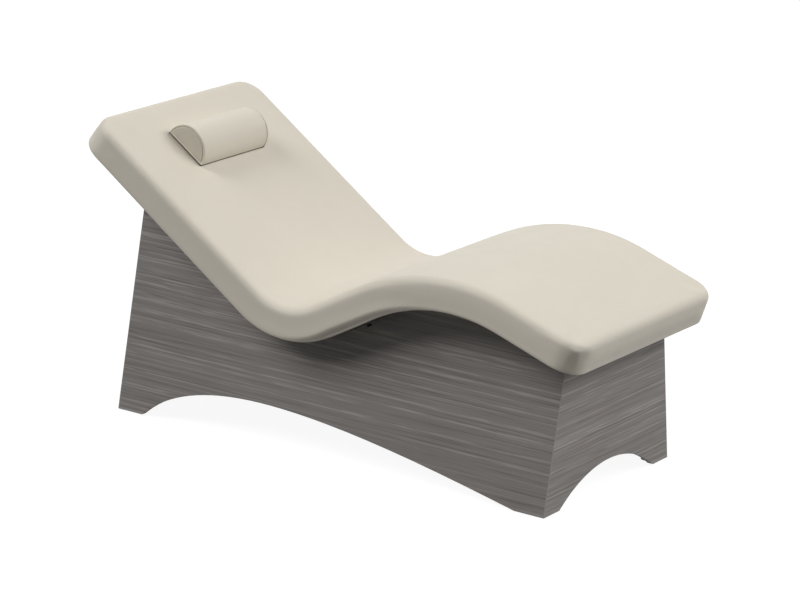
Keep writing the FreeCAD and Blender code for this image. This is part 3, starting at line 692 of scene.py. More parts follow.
class Graph:
    """Adds nodes to one node tree and links them."""

    def __init__(self, tree: bpy.types.NodeTree) -> None:
        """Start with an empty tree."""
        self.tree = tree
        tree.nodes.clear()

    def add(self, kind: str, inputs: dict | None = None, **settings: object) -> bpy.types.Node:
        """Add a node.

        Args:
            kind: the node's type.
            inputs: values or sockets by the names or numbers of the node's inputs.
            settings: the node's own settings.

        Returns:
            The node.
        """
        node = self.tree.nodes.new(kind)
        for name, value in settings.items():
            setattr(node, name, value)
        for key, value in (inputs or {}).items():
            if isinstance(value, Socket):
                self.tree.links.new(value, node.inputs[key])
            else:
                node.inputs[key].default_value = value
        return node

    def math(self, operation: str, *values: object) -> Socket:
        """Return the result of a math node on values or sockets."""
        return self.add("ShaderNodeMath", dict(enumerate(values)), operation=operation).outputs[0]

    def vector(self, operation: str, *values: object) -> Socket:
        """Return the vector result of a vector math node."""
        node = self.add("ShaderNodeVectorMath", dict(enumerate(values)), operation=operation)
        return node.outputs[0]

    def scaled(self, vector: object, factor: object) -> Socket:
        """Return a vector or a colour times a factor."""
        node = self.add("ShaderNodeVectorMath", {0: vector, "Scale": factor}, operation="SCALE")
        return node.outputs[0]

    def total(self, *parts: tuple[float, Socket]) -> Socket:
        """Return the sum of some values, each times its share.

        Args:
            parts: each value with its share before it.

        Returns:
            The sum.
        """
        scaled = [self.math("MULTIPLY", value, share) for share, value in parts]
        result = scaled[0]
        for value in scaled[1:]:
            result = self.math("ADD", result, value)
        return result

    def split(self, vector: Socket) -> bpy.types.bpy_prop_collection:
        """Return the X, Y and Z of a vector."""
        return self.add("ShaderNodeSeparateXYZ", {"Vector": vector}).outputs

    def noise(self, place: Socket, scale: object, detail: float, rough: float = 0.5,
              stretch: Way | None = None) -> Socket:
        """Return a noise pattern's factor.

        Args:
            place: where the pattern is looked up.
            scale: how close together it is.
            detail: how many finer layers it has.
            rough: how strong the finer layers are.
            stretch: how much closer it is along X, Y and Z, or None for the same.

        Returns:
            The factor.
        """
        if stretch is not None:
            place = self.vector("MULTIPLY", place, stretch)
        inputs = {"Vector": place, "Scale": scale, "Detail": detail, "Roughness": rough}
        return self.add("ShaderNodeTexNoise", inputs).outputs["Fac"]

    def cells(self, place: Socket, scale: object, feature: str = "F1") -> Socket:
        """Return the distance in a pattern of small cells."""
        inputs = {"Vector": place, "Scale": scale}
        return self.add("ShaderNodeTexVoronoi", inputs, feature=feature).outputs["Distance"]

    def ramp(self, value: Socket, low: float, high: float,
             to_low: float = 0.0, to_high: float = 1.0) -> Socket:
        """Return a value eased from one range to another.

        Args:
            value: the value.
            low: where the first range starts.
            high: where it ends.
            to_low: what the start becomes.
            to_high: what the end becomes.

        Returns:
            The eased value.
        """
        inputs = {"Value": value, "From Min": low, "From Max": high,
                  "To Min": to_low, "To Max": to_high}
        node = self.add("ShaderNodeMapRange", inputs, interpolation_type="SMOOTHSTEP")
        return node.outputs["Result"]

    def blend(self, factor: object, first: object, second: object) -> Socket:
        """Return two colours mixed by a factor: inputs 6 and 7 are colours, output 2 the mix."""
        return self.add("ShaderNodeMix", {0: factor, 6: first, 7: second},
                        data_type="RGBA").outputs[2]

    def effect(self, effect: Effect, **inputs: object) -> bpy.types.bpy_prop_collection:
        """Add a shared effect and return its outputs.

        Args:
            effect: which effect.
            inputs: its inputs by name.

        Returns:
            The group node's outputs.
        """
        group = bpy.data.node_groups[effect.value]
        return self.add("ShaderNodeGroup", inputs, node_tree=group).outputs


@dataclass(frozen=True)
class Layer:
    """One noise of a pattern: its share, its finer layers, and how much closer together it is."""

    share: float
    detail: float
    rough: float
    stretch: Way

    def add(self, graph: Graph, place: Socket) -> Socket:
        """Add the noise to a graph and return its factor."""
        return graph.noise(place, 1.0, self.detail, self.rough, self.stretch)


@dataclass(frozen=True)
class SharedEffects:
    """Builds the node groups that several finishes share."""

    drift: float = 0.0006
    crease: float = 0.22
    grit_share: float = 0.35
    grit_closer: float = 3.0
    cloud_closer: float = 0.02
    broad: Layer = Layer(0.08, 2.0, 0.5, (1.0, 1.0, 0.22))
    level: Layer = Layer(0.40, 2.0, 0.6, (0.2, 0.2, 1.5))
    middle: Layer = Layer(0.26, 2.0, 0.6, (1.6, 1.6, 1.1))
    fine: Layer = Layer(0.26, 3.0, 0.65, (3.0, 3.0, 2.6))
    thin: Layer = Layer(1.0, 1.0, 0.3, (0.2, 0.2, 0.85))
    fade: Layer = Layer(1.0, 1.0, 0.5, (3.2, 3.2, 1.6))
    line_shift: Way = (7.3, 2.9, 11.7)
    thin_span: Span = (0.56, 0.64)
    fade_span: Span = (0.38, 0.58)
    relief_share: float = 0.6
    mottle_share: float = 0.7
    mottle_closer: float = 9.0
    highlight_core: float = 0.55

    def group(self, effect: Effect, inputs: dict[str, str], outputs: tuple[str, ...],
              ) -> tuple[Graph, bpy.types.bpy_prop_collection]:
        """Start a node group with named sockets.

        Args:
            effect: which effect it is.
            inputs: the kind of each input socket by its name.
            outputs: the names of its output values.

        Returns:
            The group's graph, and what the group is given.
        """
        tree = bpy.data.node_groups.new(effect.value, "ShaderNodeTree")
        for name, kind in inputs.items():
            tree.interface.new_socket(name=name, in_out="INPUT", socket_type="NodeSocket" + kind)
        for name in outputs:
            tree.interface.new_socket(name=name, in_out="OUTPUT", socket_type="NodeSocketFloat")
        graph = Graph(tree)
        return graph, graph.add("NodeGroupInput").outputs

    def pebble(self) -> None:
        """Soft pebbles with fine creases between them, as pressed leather cloth has."""
        graph, given = self.group(Effect.PEBBLE, {"Vector": "Vector", "Size": "Float"},
                                  ("Height", "Tone"))
        place, scale = given["Vector"], graph.math("DIVIDE", 1.0, given["Size"])
        drift = graph.add("ShaderNodeTexNoise", {"Vector": place, "Scale": scale, "Detail": 1.0})
        moved = graph.vector("ADD", place, graph.scaled(drift.outputs["Color"], self.drift))
        creases = graph.ramp(graph.cells(moved, scale, "DISTANCE_TO_EDGE"), 0.0, self.crease)
        grit = graph.noise(place, graph.math("MULTIPLY", scale, self.grit_closer), 3.0)
        graph.add("NodeGroupOutput", {
            "Height": graph.total((1.0, creases), (self.grit_share, grit)),
            "Tone": graph.noise(place, graph.math("MULTIPLY", scale, self.cloud_closer), 2.0),
        })

    def streaks(self) -> None:
        """Long fine streaks that run level, with thin light lines among them."""
        graph, given = self.group(Effect.STREAKS,
                                  {"Vector": "Vector", "Length": "Float", "Pitch": "Float"},
                                  ("Tone", "Lines", "Height"))
        along = graph.math("DIVIDE", 1.0, given["Length"])
        across = graph.math("DIVIDE", 1.0, given["Pitch"])
        stretch = graph.add("ShaderNodeCombineXYZ", {"X": along, "Y": along, "Z": across})
        place = graph.vector("MULTIPLY", given["Vector"], stretch.outputs[0])
        layers = (self.broad, self.level, self.middle, self.fine)
        noises = [layer.add(graph, place) for layer in layers]
        other = graph.vector("ADD", place, self.line_shift)
        thin = graph.ramp(self.thin.add(graph, other), *self.thin_span)
        fade = graph.ramp(self.fade.add(graph, other), *self.fade_span)
        graph.add("NodeGroupOutput", {
            "Tone": graph.total(*zip((layer.share for layer in layers), noises)),
            "Lines": graph.math("MULTIPLY", thin, fade),
            "Height": graph.total((self.relief_share, noises[3]),
                                  (1 - self.relief_share, noises[1])),
        })

    def mottle(self) -> None:
        """Slow cloudy change of tone, with a finer one over it."""
        graph, given = self.group(Effect.MOTTLE, {"Vector": "Vector", "Size": "Float"}, ("Tone",))
        place, scale = given["Vector"], graph.math("DIVIDE", 1.0, given["Size"])
        slow = graph.noise(place, scale, 2.0)
        fine = graph.noise(place, graph.math("MULTIPLY", scale, self.mottle_closer), 2.0)
        graph.add("NodeGroupOutput", {"Tone": graph.total((self.mottle_share, slow),
                                                          (1 - self.mottle_share, fine))})

    def corners(self) -> None:
        """A mask along the upright corners of the leaning base, for its painted highlight."""
        floats = dict.fromkeys(("Foot", "Head", "Slope", "Side", "Width"), "Float")
        graph, given = self.group(Effect.CORNERS, {"Vector": "Vector", **floats}, ("Mask",))
        place = graph.split(given["Vector"])
        lean = graph.math("ADD", graph.math("ABSOLUTE", place["Y"]),
                          graph.math("MULTIPLY", place["Z"], given["Slope"]))
        from_side = graph.math("SUBTRACT", given["Side"], lean)
        from_end = graph.math("MINIMUM", graph.math("SUBTRACT", given["Foot"], place["X"]),
                              graph.math("SUBTRACT", place["X"], given["Head"]))
        both = graph.math("ADD", graph.math("ABSOLUTE", from_side),
                          graph.math("ABSOLUTE", from_end))
        away = graph.math("DIVIDE", both, given["Width"])
        graph.add("NodeGroupOutput", {"Mask": graph.ramp(away, 1.0, self.highlight_core)})

    def build(self) -> None:
        """Build every shared effect once."""
        self.pebble()
        self.streaks()
        self.mottle()
        self.corners()


def shade(red: float, green: float, blue: float) -> Colour:
    """Return a linear colour for values from 0 to 255 as they look on a screen.

    Args:
        red: how much red.
        green: how much green.
        blue: how much blue.

    Returns:
        The colour.
    """
    values = []
    for part in (red, green, blue):
        share = part / 255
        values.append(share / 12.92 if share <= 0.04045 else ((share + 0.055) / 1.055) ** 2.4)
    return values[0], values[1], values[2], 1.0


class Finish:
    """A material under its own name, with a relief that is so many metres deep."""

    name: str
    depth: float

    def surface(self, graph: Graph, place: Socket) -> tuple[Socket, dict[str, object]]:
        """Return the relief's height and the shader's inputs."""
        raise NotImplementedError

    def build(self) -> Material:
        """Return the material.

        Returns:
            The material.
        """
        material = bpy.data.materials.new(self.name)
        material.use_nodes = True
        graph = Graph(material.node_tree)
        place = graph.add("ShaderNodeTexCoord").outputs["Object"]
        height, inputs = self.surface(graph, place)
        bump = graph.add("ShaderNodeBump",
                         {"Height": height, "Distance": self.depth, "Strength": 1.0})
        shader = graph.add("ShaderNodeBsdfPrincipled",
                           {"Normal": bump.outputs["Normal"], **inputs})
        graph.add("ShaderNodeOutputMaterial", {"Surface": shader.outputs["BSDF"]})
        return material


@dataclass(frozen=True)
class FauxLeather(Finish):
    """Smooth satin leather cloth with a fine pressed grain."""

    name: str = "satin_leather_cloth"
    colour: Colour = shade(219, 212, 198)
    deeper: Colour = shade(217, 210, 196)
    grain: float = 0.0013
    cloud: float = 0.35
    depth: float = 0.00005
    roughness: Span = (0.42, 0.51)
    cloud_span: Span = (0.35, 0.65)
    grain_span: Span = (0.1, 0.9)
    grain_shade: Span = (0.965, 1.0)
    patch_span: Span = (0.3, 0.7)

    def surface(self, graph: Graph, place: Socket) -> tuple[Socket, dict[str, object]]:
        """Return the relief's height and the shader's inputs.

        Args:
            graph: the finish's graph.
            place: the object coordinates.

        Returns:
            The height, and the inputs by their names.
        """
        grain = graph.effect(Effect.PEBBLE, Vector=place, Size=self.grain)
        cloud = graph.effect(Effect.MOTTLE, Vector=place, Size=self.cloud)["Tone"]
        base = graph.blend(graph.ramp(cloud, *self.cloud_span), self.deeper, self.colour)
        # Painted shade: the grain's creases are made up to 3.5 percent darker.
        crease = graph.ramp(grain["Height"], *self.grain_span, *self.grain_shade)
        return grain["Height"], {
            "Base Color": graph.scaled(base, crease), "IOR": 1.45, "Specular IOR Level": 0.3,
            "Roughness": graph.ramp(grain["Tone"], *self.patch_span, *self.roughness),
        }


@dataclass(frozen=True)
class StreakedLaminate(Finish):
    """Grey-brown laminate with long level streaks, and a highlight painted along its corners.

    The end panels' sheets show another part of the streaks than the sides' sheets.
    """

    name: str = "streaked_laminate"
    dark: Colour = shade(109, 105, 102)
    middle: Colour = shade(133, 128, 125)
    light: Colour = shade(151, 146, 142)
    line: Colour = shade(172, 167, 162)
    painted_highlight: Colour = shade(150, 146, 141)
    line_share: float = 0.6
    painted_highlight_share: float = 0.7
    streak_length: float = 0.42
    streak_pitch: float = 0.0066
    foot: float = 0.774655
    head: float = -0.748755
    lean: float = 9.8
    floor_gap: float = 0.004
    half_width: float = 0.3555
    sheet_edge: float = 0.0006
    end_shift: Way = (0.0, 1.7, 0.613)
    painted_highlight_width: float = 0.0032
    depth: float = 0.00012
    dark_span: Span = (0.37, 0.50)
    light_span: Span = (0.50, 0.64)
    rough_span: Span = (0.35, 0.65)
    roughness: Span = (0.52, 0.42)

    def surface(self, graph: Graph, place: Socket) -> tuple[Socket, dict[str, object]]:
        """Return the relief's height and the shader's inputs.

        Args:
            graph: the finish's graph.
            place: the object coordinates.

        Returns:
            The height, and the inputs by their names.
        """
        along = graph.split(place)["X"]
        on_end = graph.math("SUBTRACT",
                            graph.math("GREATER_THAN", along, self.foot - self.sheet_edge),
                            graph.math("LESS_THAN", along, self.head + self.sheet_edge))
        own = graph.vector("ADD", place, graph.scaled(self.end_shift, on_end))
        streak = graph.effect(Effect.STREAKS, Vector=own, Length=self.streak_length,
                              Pitch=self.streak_pitch)
        tone = streak["Tone"]
        low = graph.blend(graph.ramp(tone, *self.dark_span), self.dark, self.middle)
        body = graph.blend(graph.ramp(tone, *self.light_span), low, self.light)
        lined = graph.blend(graph.math("MULTIPLY", streak["Lines"], self.line_share),
                            body, self.line)
        # Painted highlight: the laminate's colour turns lighter within a few millimetres of its
        # upright corners.
        slope = math.tan(math.radians(self.lean))
        corner_highlight_mask = graph.effect(Effect.CORNERS, Vector=place, Foot=self.foot, Head=self.head,
                            Slope=slope, Side=self.half_width + slope * self.floor_gap,
                            Width=self.painted_highlight_width)
        painted_highlight = graph.math("MULTIPLY", corner_highlight_mask["Mask"], self.painted_highlight_share)
        return streak["Height"], {
            "Base Color": graph.blend(painted_highlight, lined, self.painted_highlight), "IOR": 1.45,
            "Specular IOR Level": 0.22,
            "Roughness": graph.ramp(tone, *self.rough_span, *self.roughness),
        }


@dataclass(frozen=True)
class MottledFinish(Finish):
    """Two tones, mixed by the finish's own pattern and by a cloud.

    The pattern is a noise here. Its shares in the colour and in the roughness are given, and
    the rest is the cloud's.
    """

    name: str
    dark: Colour
    light: Colour
    depth: float
    cloud: float
    share: float
    roughness: Span
    tones: Span = (0.35, 0.65)
    rough_share: float = 1.0
    rough_span: Span = (0.3, 0.7)
    scale: float = 1000.0
    detail: float = 2.0
    grit: float = 0.5
    stretch: Way | None = None
    others: tuple[tuple[str, float], ...] = ()

    def pattern(self, graph: Graph, place: Socket) -> tuple[Socket, Socket]:
        """Return the finish's own pattern and the relief's height."""
        noise = graph.noise(place, self.scale, self.detail, self.grit, self.stretch)
        return noise, noise

    def surface(self, graph: Graph, place: Socket) -> tuple[Socket, dict[str, object]]:
        """Return the relief's height and the shader's inputs.

        Args:
            graph: the finish's graph.
            place: the object coordinates.

        Returns:
            The height, and the inputs by their names.
        """
        own, height = self.pattern(graph, place)
        cloud = graph.effect(Effect.MOTTLE, Vector=place, Size=self.cloud)["Tone"]
        tone = graph.total((self.share, own), (1 - self.share, cloud))
        rough = graph.total((self.rough_share, own), (1 - self.rough_share, cloud))
        return height, {
            "Base Color": graph.blend(graph.ramp(tone, *self.tones), self.dark, self.light),
            "Roughness": graph.ramp(rough, *self.rough_span, *self.roughness),
            **dict(self.others),
        }


@dataclass(frozen=True)
class BareWood(MottledFinish):
    """Plain wood with a long grain, for the bearers, the blocks and the deck."""

    depth: float = 0.0001
    cloud: float = 0.12
    share: float = 0.75
    roughness: Span = (0.62, 0.5)
    tones: Span = (0.38, 0.62)
    rough_share: float = 0.75
    grain_length: float = 0.22
    grain_pitch: float = 0.0032

    def pattern(self, graph: Graph, place: Socket) -> tuple[Socket, Socket]:
        """Return the grain and the relief's height.

        Args:
            graph: the finish's graph.
            place: the object coordinates.

        Returns:
            The grain and the height.
        """
        grain = graph.effect(Effect.STREAKS, Vector=place, Length=self.grain_length,
                             Pitch=self.grain_pitch)
        return grain["Tone"], grain["Height"]


@dataclass(frozen=True)
class BondedFelt(MottledFinish):
    """Pressed cloth of short fibres, with small bonds that show in its relief."""

    bonds: float = 420.0
    bond_span: Span = (0.1, 0.35)
    fibre_share: float = 0.5

    def pattern(self, graph: Graph, place: Socket) -> tuple[Socket, Socket]:
        """Return the fibres and the relief's height.

        Args:
            graph: the finish's graph.
            place: the object coordinates.

        Returns:
            The fibres and the height.
        """
        fibre = graph.noise(place, self.scale, self.detail, self.grit, self.stretch)
        bonds = graph.ramp(graph.cells(place, self.bonds), *self.bond_span)
        return fibre, graph.total((1.0, bonds), (self.fibre_share, fibre))


@dataclass(frozen=True)
class LoopedPile(MottledFinish):
    """A dense pile of small loops."""

    def pattern(self, graph: Graph, place: Socket) -> tuple[Socket, Socket]:
        """Return the pile, which is the relief's height too."""
        pile = graph.cells(place, self.scale)
        return pile, pile


def dress(piece: Piece, material: Material) -> None:
    """Give a piece one material."""
    piece.data.materials.clear()
    piece.data.materials.append(material)


def attach(piece: Piece, material: Material, body: str) -> None:
    """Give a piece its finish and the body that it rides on.

    Args:
        piece: the piece.
        material: its finish.
        body: the body.
    """
    dress(piece, material)
    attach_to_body(piece, body)
    LOG.info("%s: %d faces", piece.name, len(piece.data.polygons))


# ---------------------------------------------------------------- the bed's cushion


@dataclass
class Bed:
    """The long contoured cushion and the cloth that closes its underside."""

    profile: SideProfile
    cloth: Material
    under_cloth: Material
    half_width: float = 0.400
    corner: float = 0.079
    slack: float = 0.0005
    give: float = 0.0018
    pillow_give: float = 0.0005
    bottom_rim: float = 0.005
    side_band: float = 0.020
    turn_under: float = 0.082
    window_corner: float = 0.030
    window_rise: float = 0.0004
    window_drop: float = 0.006
    window_step: float = 0.012
    deck_bottom: float = 0.0976
    dust_thickness: float = 0.0006
    dust_gap: float = 0.0005
    pillow_start: float = 0.113
    pillow_end: float = 0.294
    pillow_half: float = 0.177
    pillow_blend: float = 0.120

    def near_pillow(self, flat: np.ndarray) -> np.ndarray:
        """Return how near each point is to the pillow's rest, from 0 far off to 1 under it.

        Args:
            flat: the points, still flat.

        Returns:
            The nearness of each point.
        """
        along = np.maximum(self.pillow_start - flat[:, 0], flat[:, 0] - self.pillow_end)
        across = np.abs(flat[:, 1]) - self.pillow_half
        away = np.maximum(0.0, np.maximum(along, across))
        return share_of(1 - away / self.pillow_blend)

    def cushion(self) -> None:
        """Build the padded cushion, open under the deck for the dust cloth."""
        profile, slack = self.profile, self.slack
        slab = TuckedSlab("bed_cushion", profile, slack, profile.length - slack,
                          self.half_width - slack, slack, profile.thickness, self.corner - slack,
                          profile.top_edge - slack / 2, self.bottom_rim, self.side_band)
        piece = slab.build()
        held = slab.flat[:, 2] > profile.thickness - self.side_band
        near = self.near_pillow(slab.flat)
        give = self.give * (1 - near) + self.pillow_give * near
        Stuffing(pressure=0.9, tension=60.0, bending=2.0).swell(piece, held, give)
        refine(piece)
        self.open_window(piece)
        shade_by_angle(piece)
        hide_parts("upholstery_cover", "comfort_foam", "support_foam_back",
                    "support_foam_seat", "support_foam_leg")
        attach(piece, self.cloth, "lounger")

    def open_window(self, piece: Piece) -> None:
        """Sink a shallow window with round corners into the cushion's underside.

        Args:
            piece: the cushion.
        """
        inset = self.turn_under
        cutter = PaddedSlab("window_cutter", self.profile, inset, self.profile.length - inset,
                            self.half_width - inset, self.deck_bottom - self.window_rise,
                            self.profile.thickness + self.window_drop, self.window_corner,
                            step=self.window_step).build()
        modifier = piece.modifiers.new("Window", "BOOLEAN")
        modifier.operation = "DIFFERENCE"
        modifier.solver = "EXACT"
        modifier.object = cutter
        finish_modifier(piece, modifier)
        bpy.data.objects.remove(cutter)

    def dust_cloth(self) -> None:
        """Build the cloth stapled over the window under the deck."""
        inset = self.turn_under + self.dust_gap
        half, bottom = self.half_width - inset, self.deck_bottom + self.dust_thickness
        piece = PaddedSlab("dust_cloth", self.profile, inset, self.profile.length - inset, half,
                           self.deck_bottom, bottom, self.window_corner - self.dust_gap).build()
        shade_by_angle(piece)
        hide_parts("dust_cover")
        length = self.profile.length_at(bottom, inset)
        attach(piece, self.under_cloth, "lounger")

    def build(self) -> None:
        """Build and dress the bed's soft pieces."""
        self.cushion()
        self.dust_cloth()


# ---------------------------------------------------------------- the head pillow


@dataclass
class Pillow:
    """The half round head pillow with piped ends, end panels in painted shade, a band of painted
    shadow round its base, and tapes.
    """

    profile: SideProfile
    cloth: Material
    end_painted_shade_cloth: Material
    painted_shadow_cloth: Material
    tape: Material
    radius: float = 0.0755
    length: float = 0.330
    from_head: float = 0.2035
    lift: float = 0.003
    pulled_in: float = 0.0016
    end_round: float = 0.009
    round_parts: int = 5
    up_step: float = 0.006
    along_step: float = 0.007
    base_band: float = 0.0005
    give: float = 0.0016
    piping: float = 0.0035
    piping_corner: float = 0.005
    piping_points: int = 96
    piping_turns: int = 6
    piping_steps: int = 4
    piping_crease: float = 60.0
    crease: float = 50.0
    panel_edge: float = 0.0082
    panel_low: float = 0.00656
    panel_thickness: float = 0.0016
    panel_rings: tuple[float, ...] = (0.0, 0.0008, 0.0016, 0.003)
    panel_crown: float = 0.0012
    crown_reach: float = 0.02
    roll_reach: float = 0.0016
    roll_least: float = 0.3
    shadow_band_width: float = 0.005
    shadow_band_low: float = 0.0012
    shadow_band_gap: float = 0.0001
    shadow_band_inset: float = 0.001
    shadow_band_edge: float = 0.0004
    tape_width: float = 0.030
    tape_spacing: float = 0.084
    tape_margin: float = 0.028
    tape_corner: float = 0.004
    tape_turns: int = 5
    strip_gap: float = 0.0003

    def place(self, piece: Piece, lift: float = 0.0) -> None:
        """Move a piece from the pillow's own place onto the backrest.

        Args:
            piece: the piece.
            lift: how far it is lifted off the backrest.
        """
        piece.matrix_world = (self.profile.tilt_at(self.from_head)
                              @ Matrix.Translation((0.0, 0.0, lift)))
        apply_place(piece)

    def half_round(self, points: np.ndarray, radius: float, length: float,
                   rim: float) -> np.ndarray:
        """Return block points as points of a half round bar along Y with round ends.

        Args:
            points: block points, X and Z up to the radius, Z from 0.
            radius: the bar's radius.
            length: the bar's length.
            rim: the radius that its ends are rounded with.

        Returns:
            The bar's points.
        """
        x, y, z = points.T
        level = np.maximum(np.abs(x), z)
        from_end, depth = round_rim(length / 2 - np.abs(y), radius - level, rim)
        drawn = np.where(level > 0, (radius - depth) / divisor(level), 1.0)
        scale = soften(np.abs(x), z) * drawn
        return np.column_stack([x * scale, np.sign(y) * (length / 2 - from_end), z * scale])

    def cross_lines(self, radius: float,
                    fine: tuple[float, ...]) -> tuple[list[float], list[float]]:
        """Return ruling lines across and up the bar, with fine ones at given depths.

        Args:
            radius: the bar's radius.
            fine: the depths in rising order, from 0.

        Returns:
            The lines' places along X and along Z.
        """
        near = [radius - depth for depth in reversed(fine)]
        levels = sorted(set(joined(spread(0.0, near[0], self.up_step), near)))
        return [-level for level in reversed(levels[1:])] + levels, levels

    def body(self) -> None:
        """Build the stuffed body, whose ends are drawn in under the piping."""
        radius, half = self.radius - self.pulled_in, self.length / 2 - self.pulled_in
        rim, ring = self.end_round, self.end_round / self.round_parts
        across, up = self.cross_lines(radius, tuple(spread(0.0, rim, ring)))
        near = spread(-half, rim - half, ring)
        along = joined(near, spread(near[-1], -near[-1], self.along_step),
                       [-place for place in reversed(near)])
        piece = ruled_block("pillow_body", (across, along, up))
        shaped = self.half_round(points_of(piece), radius, 2 * half, rim)
        move_points(piece, shaped)
        held = (shaped[:, 2] < self.base_band) | (np.abs(shaped[:, 1]) > half - rim)
        give = np.full(len(shaped), self.give)
        Stuffing(pressure=2.0, tension=40.0, bending=1.0).swell(piece, held, give)
        refine(piece)
        self.place(piece, self.lift)
        shade_by_angle(piece, self.crease)
        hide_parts("pillow_wrap", "pillow_core")
        attach(piece, self.cloth, "pillow")

    def end_panel(self, side: Side) -> None:
        """Build one slightly crowned end panel, thin at its rolled edge, in leather darkened for
        painted shade.

        Args:
            side: which end.
        """
        radius, low, ring = self.radius - self.panel_edge, self.panel_low, self.panel_rings[1]
        across, up = self.cross_lines(radius, self.panel_rings)
        up = sorted({level for level in up if level > low + ring / 2} | {low, low + ring})
        piece = ruled_block(f"pillow_end_{side.name.lower()}",
                            (across, [0.0, self.panel_thickness], up))
        points = points_of(piece)
        scale = soften(np.abs(points[:, 0]), points[:, 2])
        x, z = points[:, 0] * scale, np.maximum(points[:, 2] * scale, low)
        from_edge = np.minimum(radius - np.hypot(x, z), z - low)
        crown = share_of(from_edge / self.crown_reach) * self.panel_crown
        rolled = np.sqrt(share_of(from_edge / self.roll_reach))
        face = self.length / 2 - self.pulled_in
        outer = face + points[:, 1] * np.clip(rolled, self.roll_least, 1.0) + crown
        outer = np.where(points[:, 1] < self.panel_thickness / 2, face, outer)
        move_points(piece, np.column_stack([x, side.value * outer, z]))
        if side is Side.RIGHT:
            open_edit(piece)
            bpy.ops.mesh.flip_normals()
            close_edit()
        self.place(piece, self.lift)
        shade_by_angle(piece, self.crease)
        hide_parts(f"pillow_cap_{side.name.lower()}")
        attach(piece, self.end_painted_shade_cloth, "pillow")

    def end_piping(self, side: Side) -> None:
        """Build one end's piping: half a circle closed along the base, with a round section.

        Args:
            side: which end.
        """
        deselect_all()
        bpy.ops.mesh.primitive_circle_add(
            vertices=self.piping_points, radius=self.radius - self.piping,
            rotation=(math.pi / 2, 0.0, 0.0),
            location=(0.0, side.value * (self.length / 2 - self.piping), 0.0))
        piece = name_new(f"pillow_piping_{side.name.lower()}")
        apply_place(piece)
        open_edit(piece)
        bpy.ops.mesh.bisect(plane_co=(0.0, 0.0, self.piping), plane_no=(0.0, 0.0, 1.0),
                            clear_inner=True)
        close_edit()
        open_edit(piece, Part.VERTICES, points_of(piece)[:, 2] < self.piping + SMALL)
        bpy.ops.mesh.edge_face_add()
        bpy.ops.mesh.bevel(offset=self.piping_corner, segments=self.piping_turns,
                           affect="VERTICES")
        close_edit()
        bpy.ops.object.convert(target="CURVE")
        curve = bpy.context.object.data
        curve.bevel_depth = self.piping
        curve.bevel_resolution = self.piping_steps
        bpy.ops.object.convert(target="MESH")
        piece = bpy.context.object
        self.place(piece, self.lift)
        shade_by_angle(piece, self.piping_crease)
        attach(piece, self.cloth, "pillow")

    def painted_shadow_band(self) -> None:
        """Build a dark band round the base, between the pillow and the backrest: painted shadow.
        """
        low, high, inset = self.shadow_band_low, self.lift - self.shadow_band_gap, self.shadow_band_inset
        piece = add_block("pillow_painted_shadow_band", (0.0, 0.0, (low + high) / 2),
                          (2 * (self.radius - inset), self.length - 2 * inset, high - low))
        level = [abs(face.normal.z) > abs(face.normal.x) + abs(face.normal.y)
                 for face in piece.data.polygons]
        open_edit(piece, Part.FACES, level)
        bpy.ops.mesh.inset(thickness=self.shadow_band_width, depth=0.0)
        bpy.ops.mesh.bridge_edge_loops()
        close_edit()
        edge = piece.modifiers.new("Soft edge", "BEVEL")
        edge.width, edge.segments = self.shadow_band_edge, 2
        finish_modifier(piece, edge)
        self.place(piece)
        shade_by_angle(piece)
        attach(piece, self.painted_shadow_cloth, "pillow")

    def tapes(self, name: str, node: str, body: str, low: float, high: float) -> None:
        """Build two fastening tapes across the backrest.

        Args:
            name: the piece's name.
            node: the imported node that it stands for.
            body: the body that it rides on.
            low: its lower face's height over the backrest.
            high: its upper face's height over the backrest.
        """
        strips = []
        for sign in (-1, 1):
            strip = add_block(name, (sign * self.tape_spacing / 2, 0.0, (low + high) / 2),
                              (self.tape_width, self.length - 2 * self.tape_margin, high - low))
            open_edges(strip, Axis.Z)
            bpy.ops.mesh.bevel(offset=self.tape_corner, segments=self.tape_turns)
            close_edit()
            strips.append(strip)
        make_active(strips[0])
        strips[1].select_set(True)
        bpy.ops.object.join()
        self.place(strips[0])
        shade_by_angle(strips[0])
        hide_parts(node)
        attach(strips[0], self.tape, body)

    def build(self) -> None:
        """Build and dress the pillow's pieces."""
        self.body()
        for side in Side:
            self.end_panel(side)
            self.end_piping(side)
        self.painted_shadow_band()
        middle = (self.lift - self.strip_gap) / 2
        self.tapes("loop_tapes", "pillow_loop_strips", "lounger", 0.0, middle)
        self.tapes("hook_tapes", "pillow_hook_strips", "pillow", middle + self.strip_gap,
                   self.lift)


# ---------------------------------------------------------------- the carried-over pieces


@dataclass
class Carcass:
    """The base's panels, frame, fixings and feet, kept as packed and given their finishes."""

    finishes: dict[str, Material]
    kinds: tuple[tuple[str, tuple[str, ...]], ...] = (
        ("laminate", ("side_laminate", "head_laminate", "foot_laminate")),
        ("board", ("side_panel", "head_panel", "foot_panel", "bulkhead")),
        ("bearer", ("bearer_back", "bearer_seat", "bearer_leg", "bearer_head", "bearer_foot",
                    "corner_block")),
        ("ply", ("formed_deck",)),
        ("steel", ("panel_screws", "block_screws", "bearer_screws", "deck_bolts",
                   "deck_washers", "tee_nuts", "cover_staples", "dust_cover_staples",
                   "leveller_insert", "leveller_stem")),
        ("glide", ("leveller_pad",)),
        ("leather", ("upholstery_cover", "pillow_wrap", "pillow_cap")),
        ("felt", ("dust_cover", "comfort_foam", "support_foam", "pillow_core")),
        ("tape", ("pillow_loop_strips", "pillow_hook_strips")),
    )

    def build(self) -> None:
        """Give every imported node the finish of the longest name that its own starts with."""
        for name, node in sorted(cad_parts.items()):
            matches = [(len(start), kind) for kind, starts in self.kinds for start in starts
                       if name.startswith(start)]
            kind = max(matches)[1]
            dress(node, self.finishes[kind])
            LOG.info("%s: %s", name, kind)


# ---------------------------------------------------------------- studio


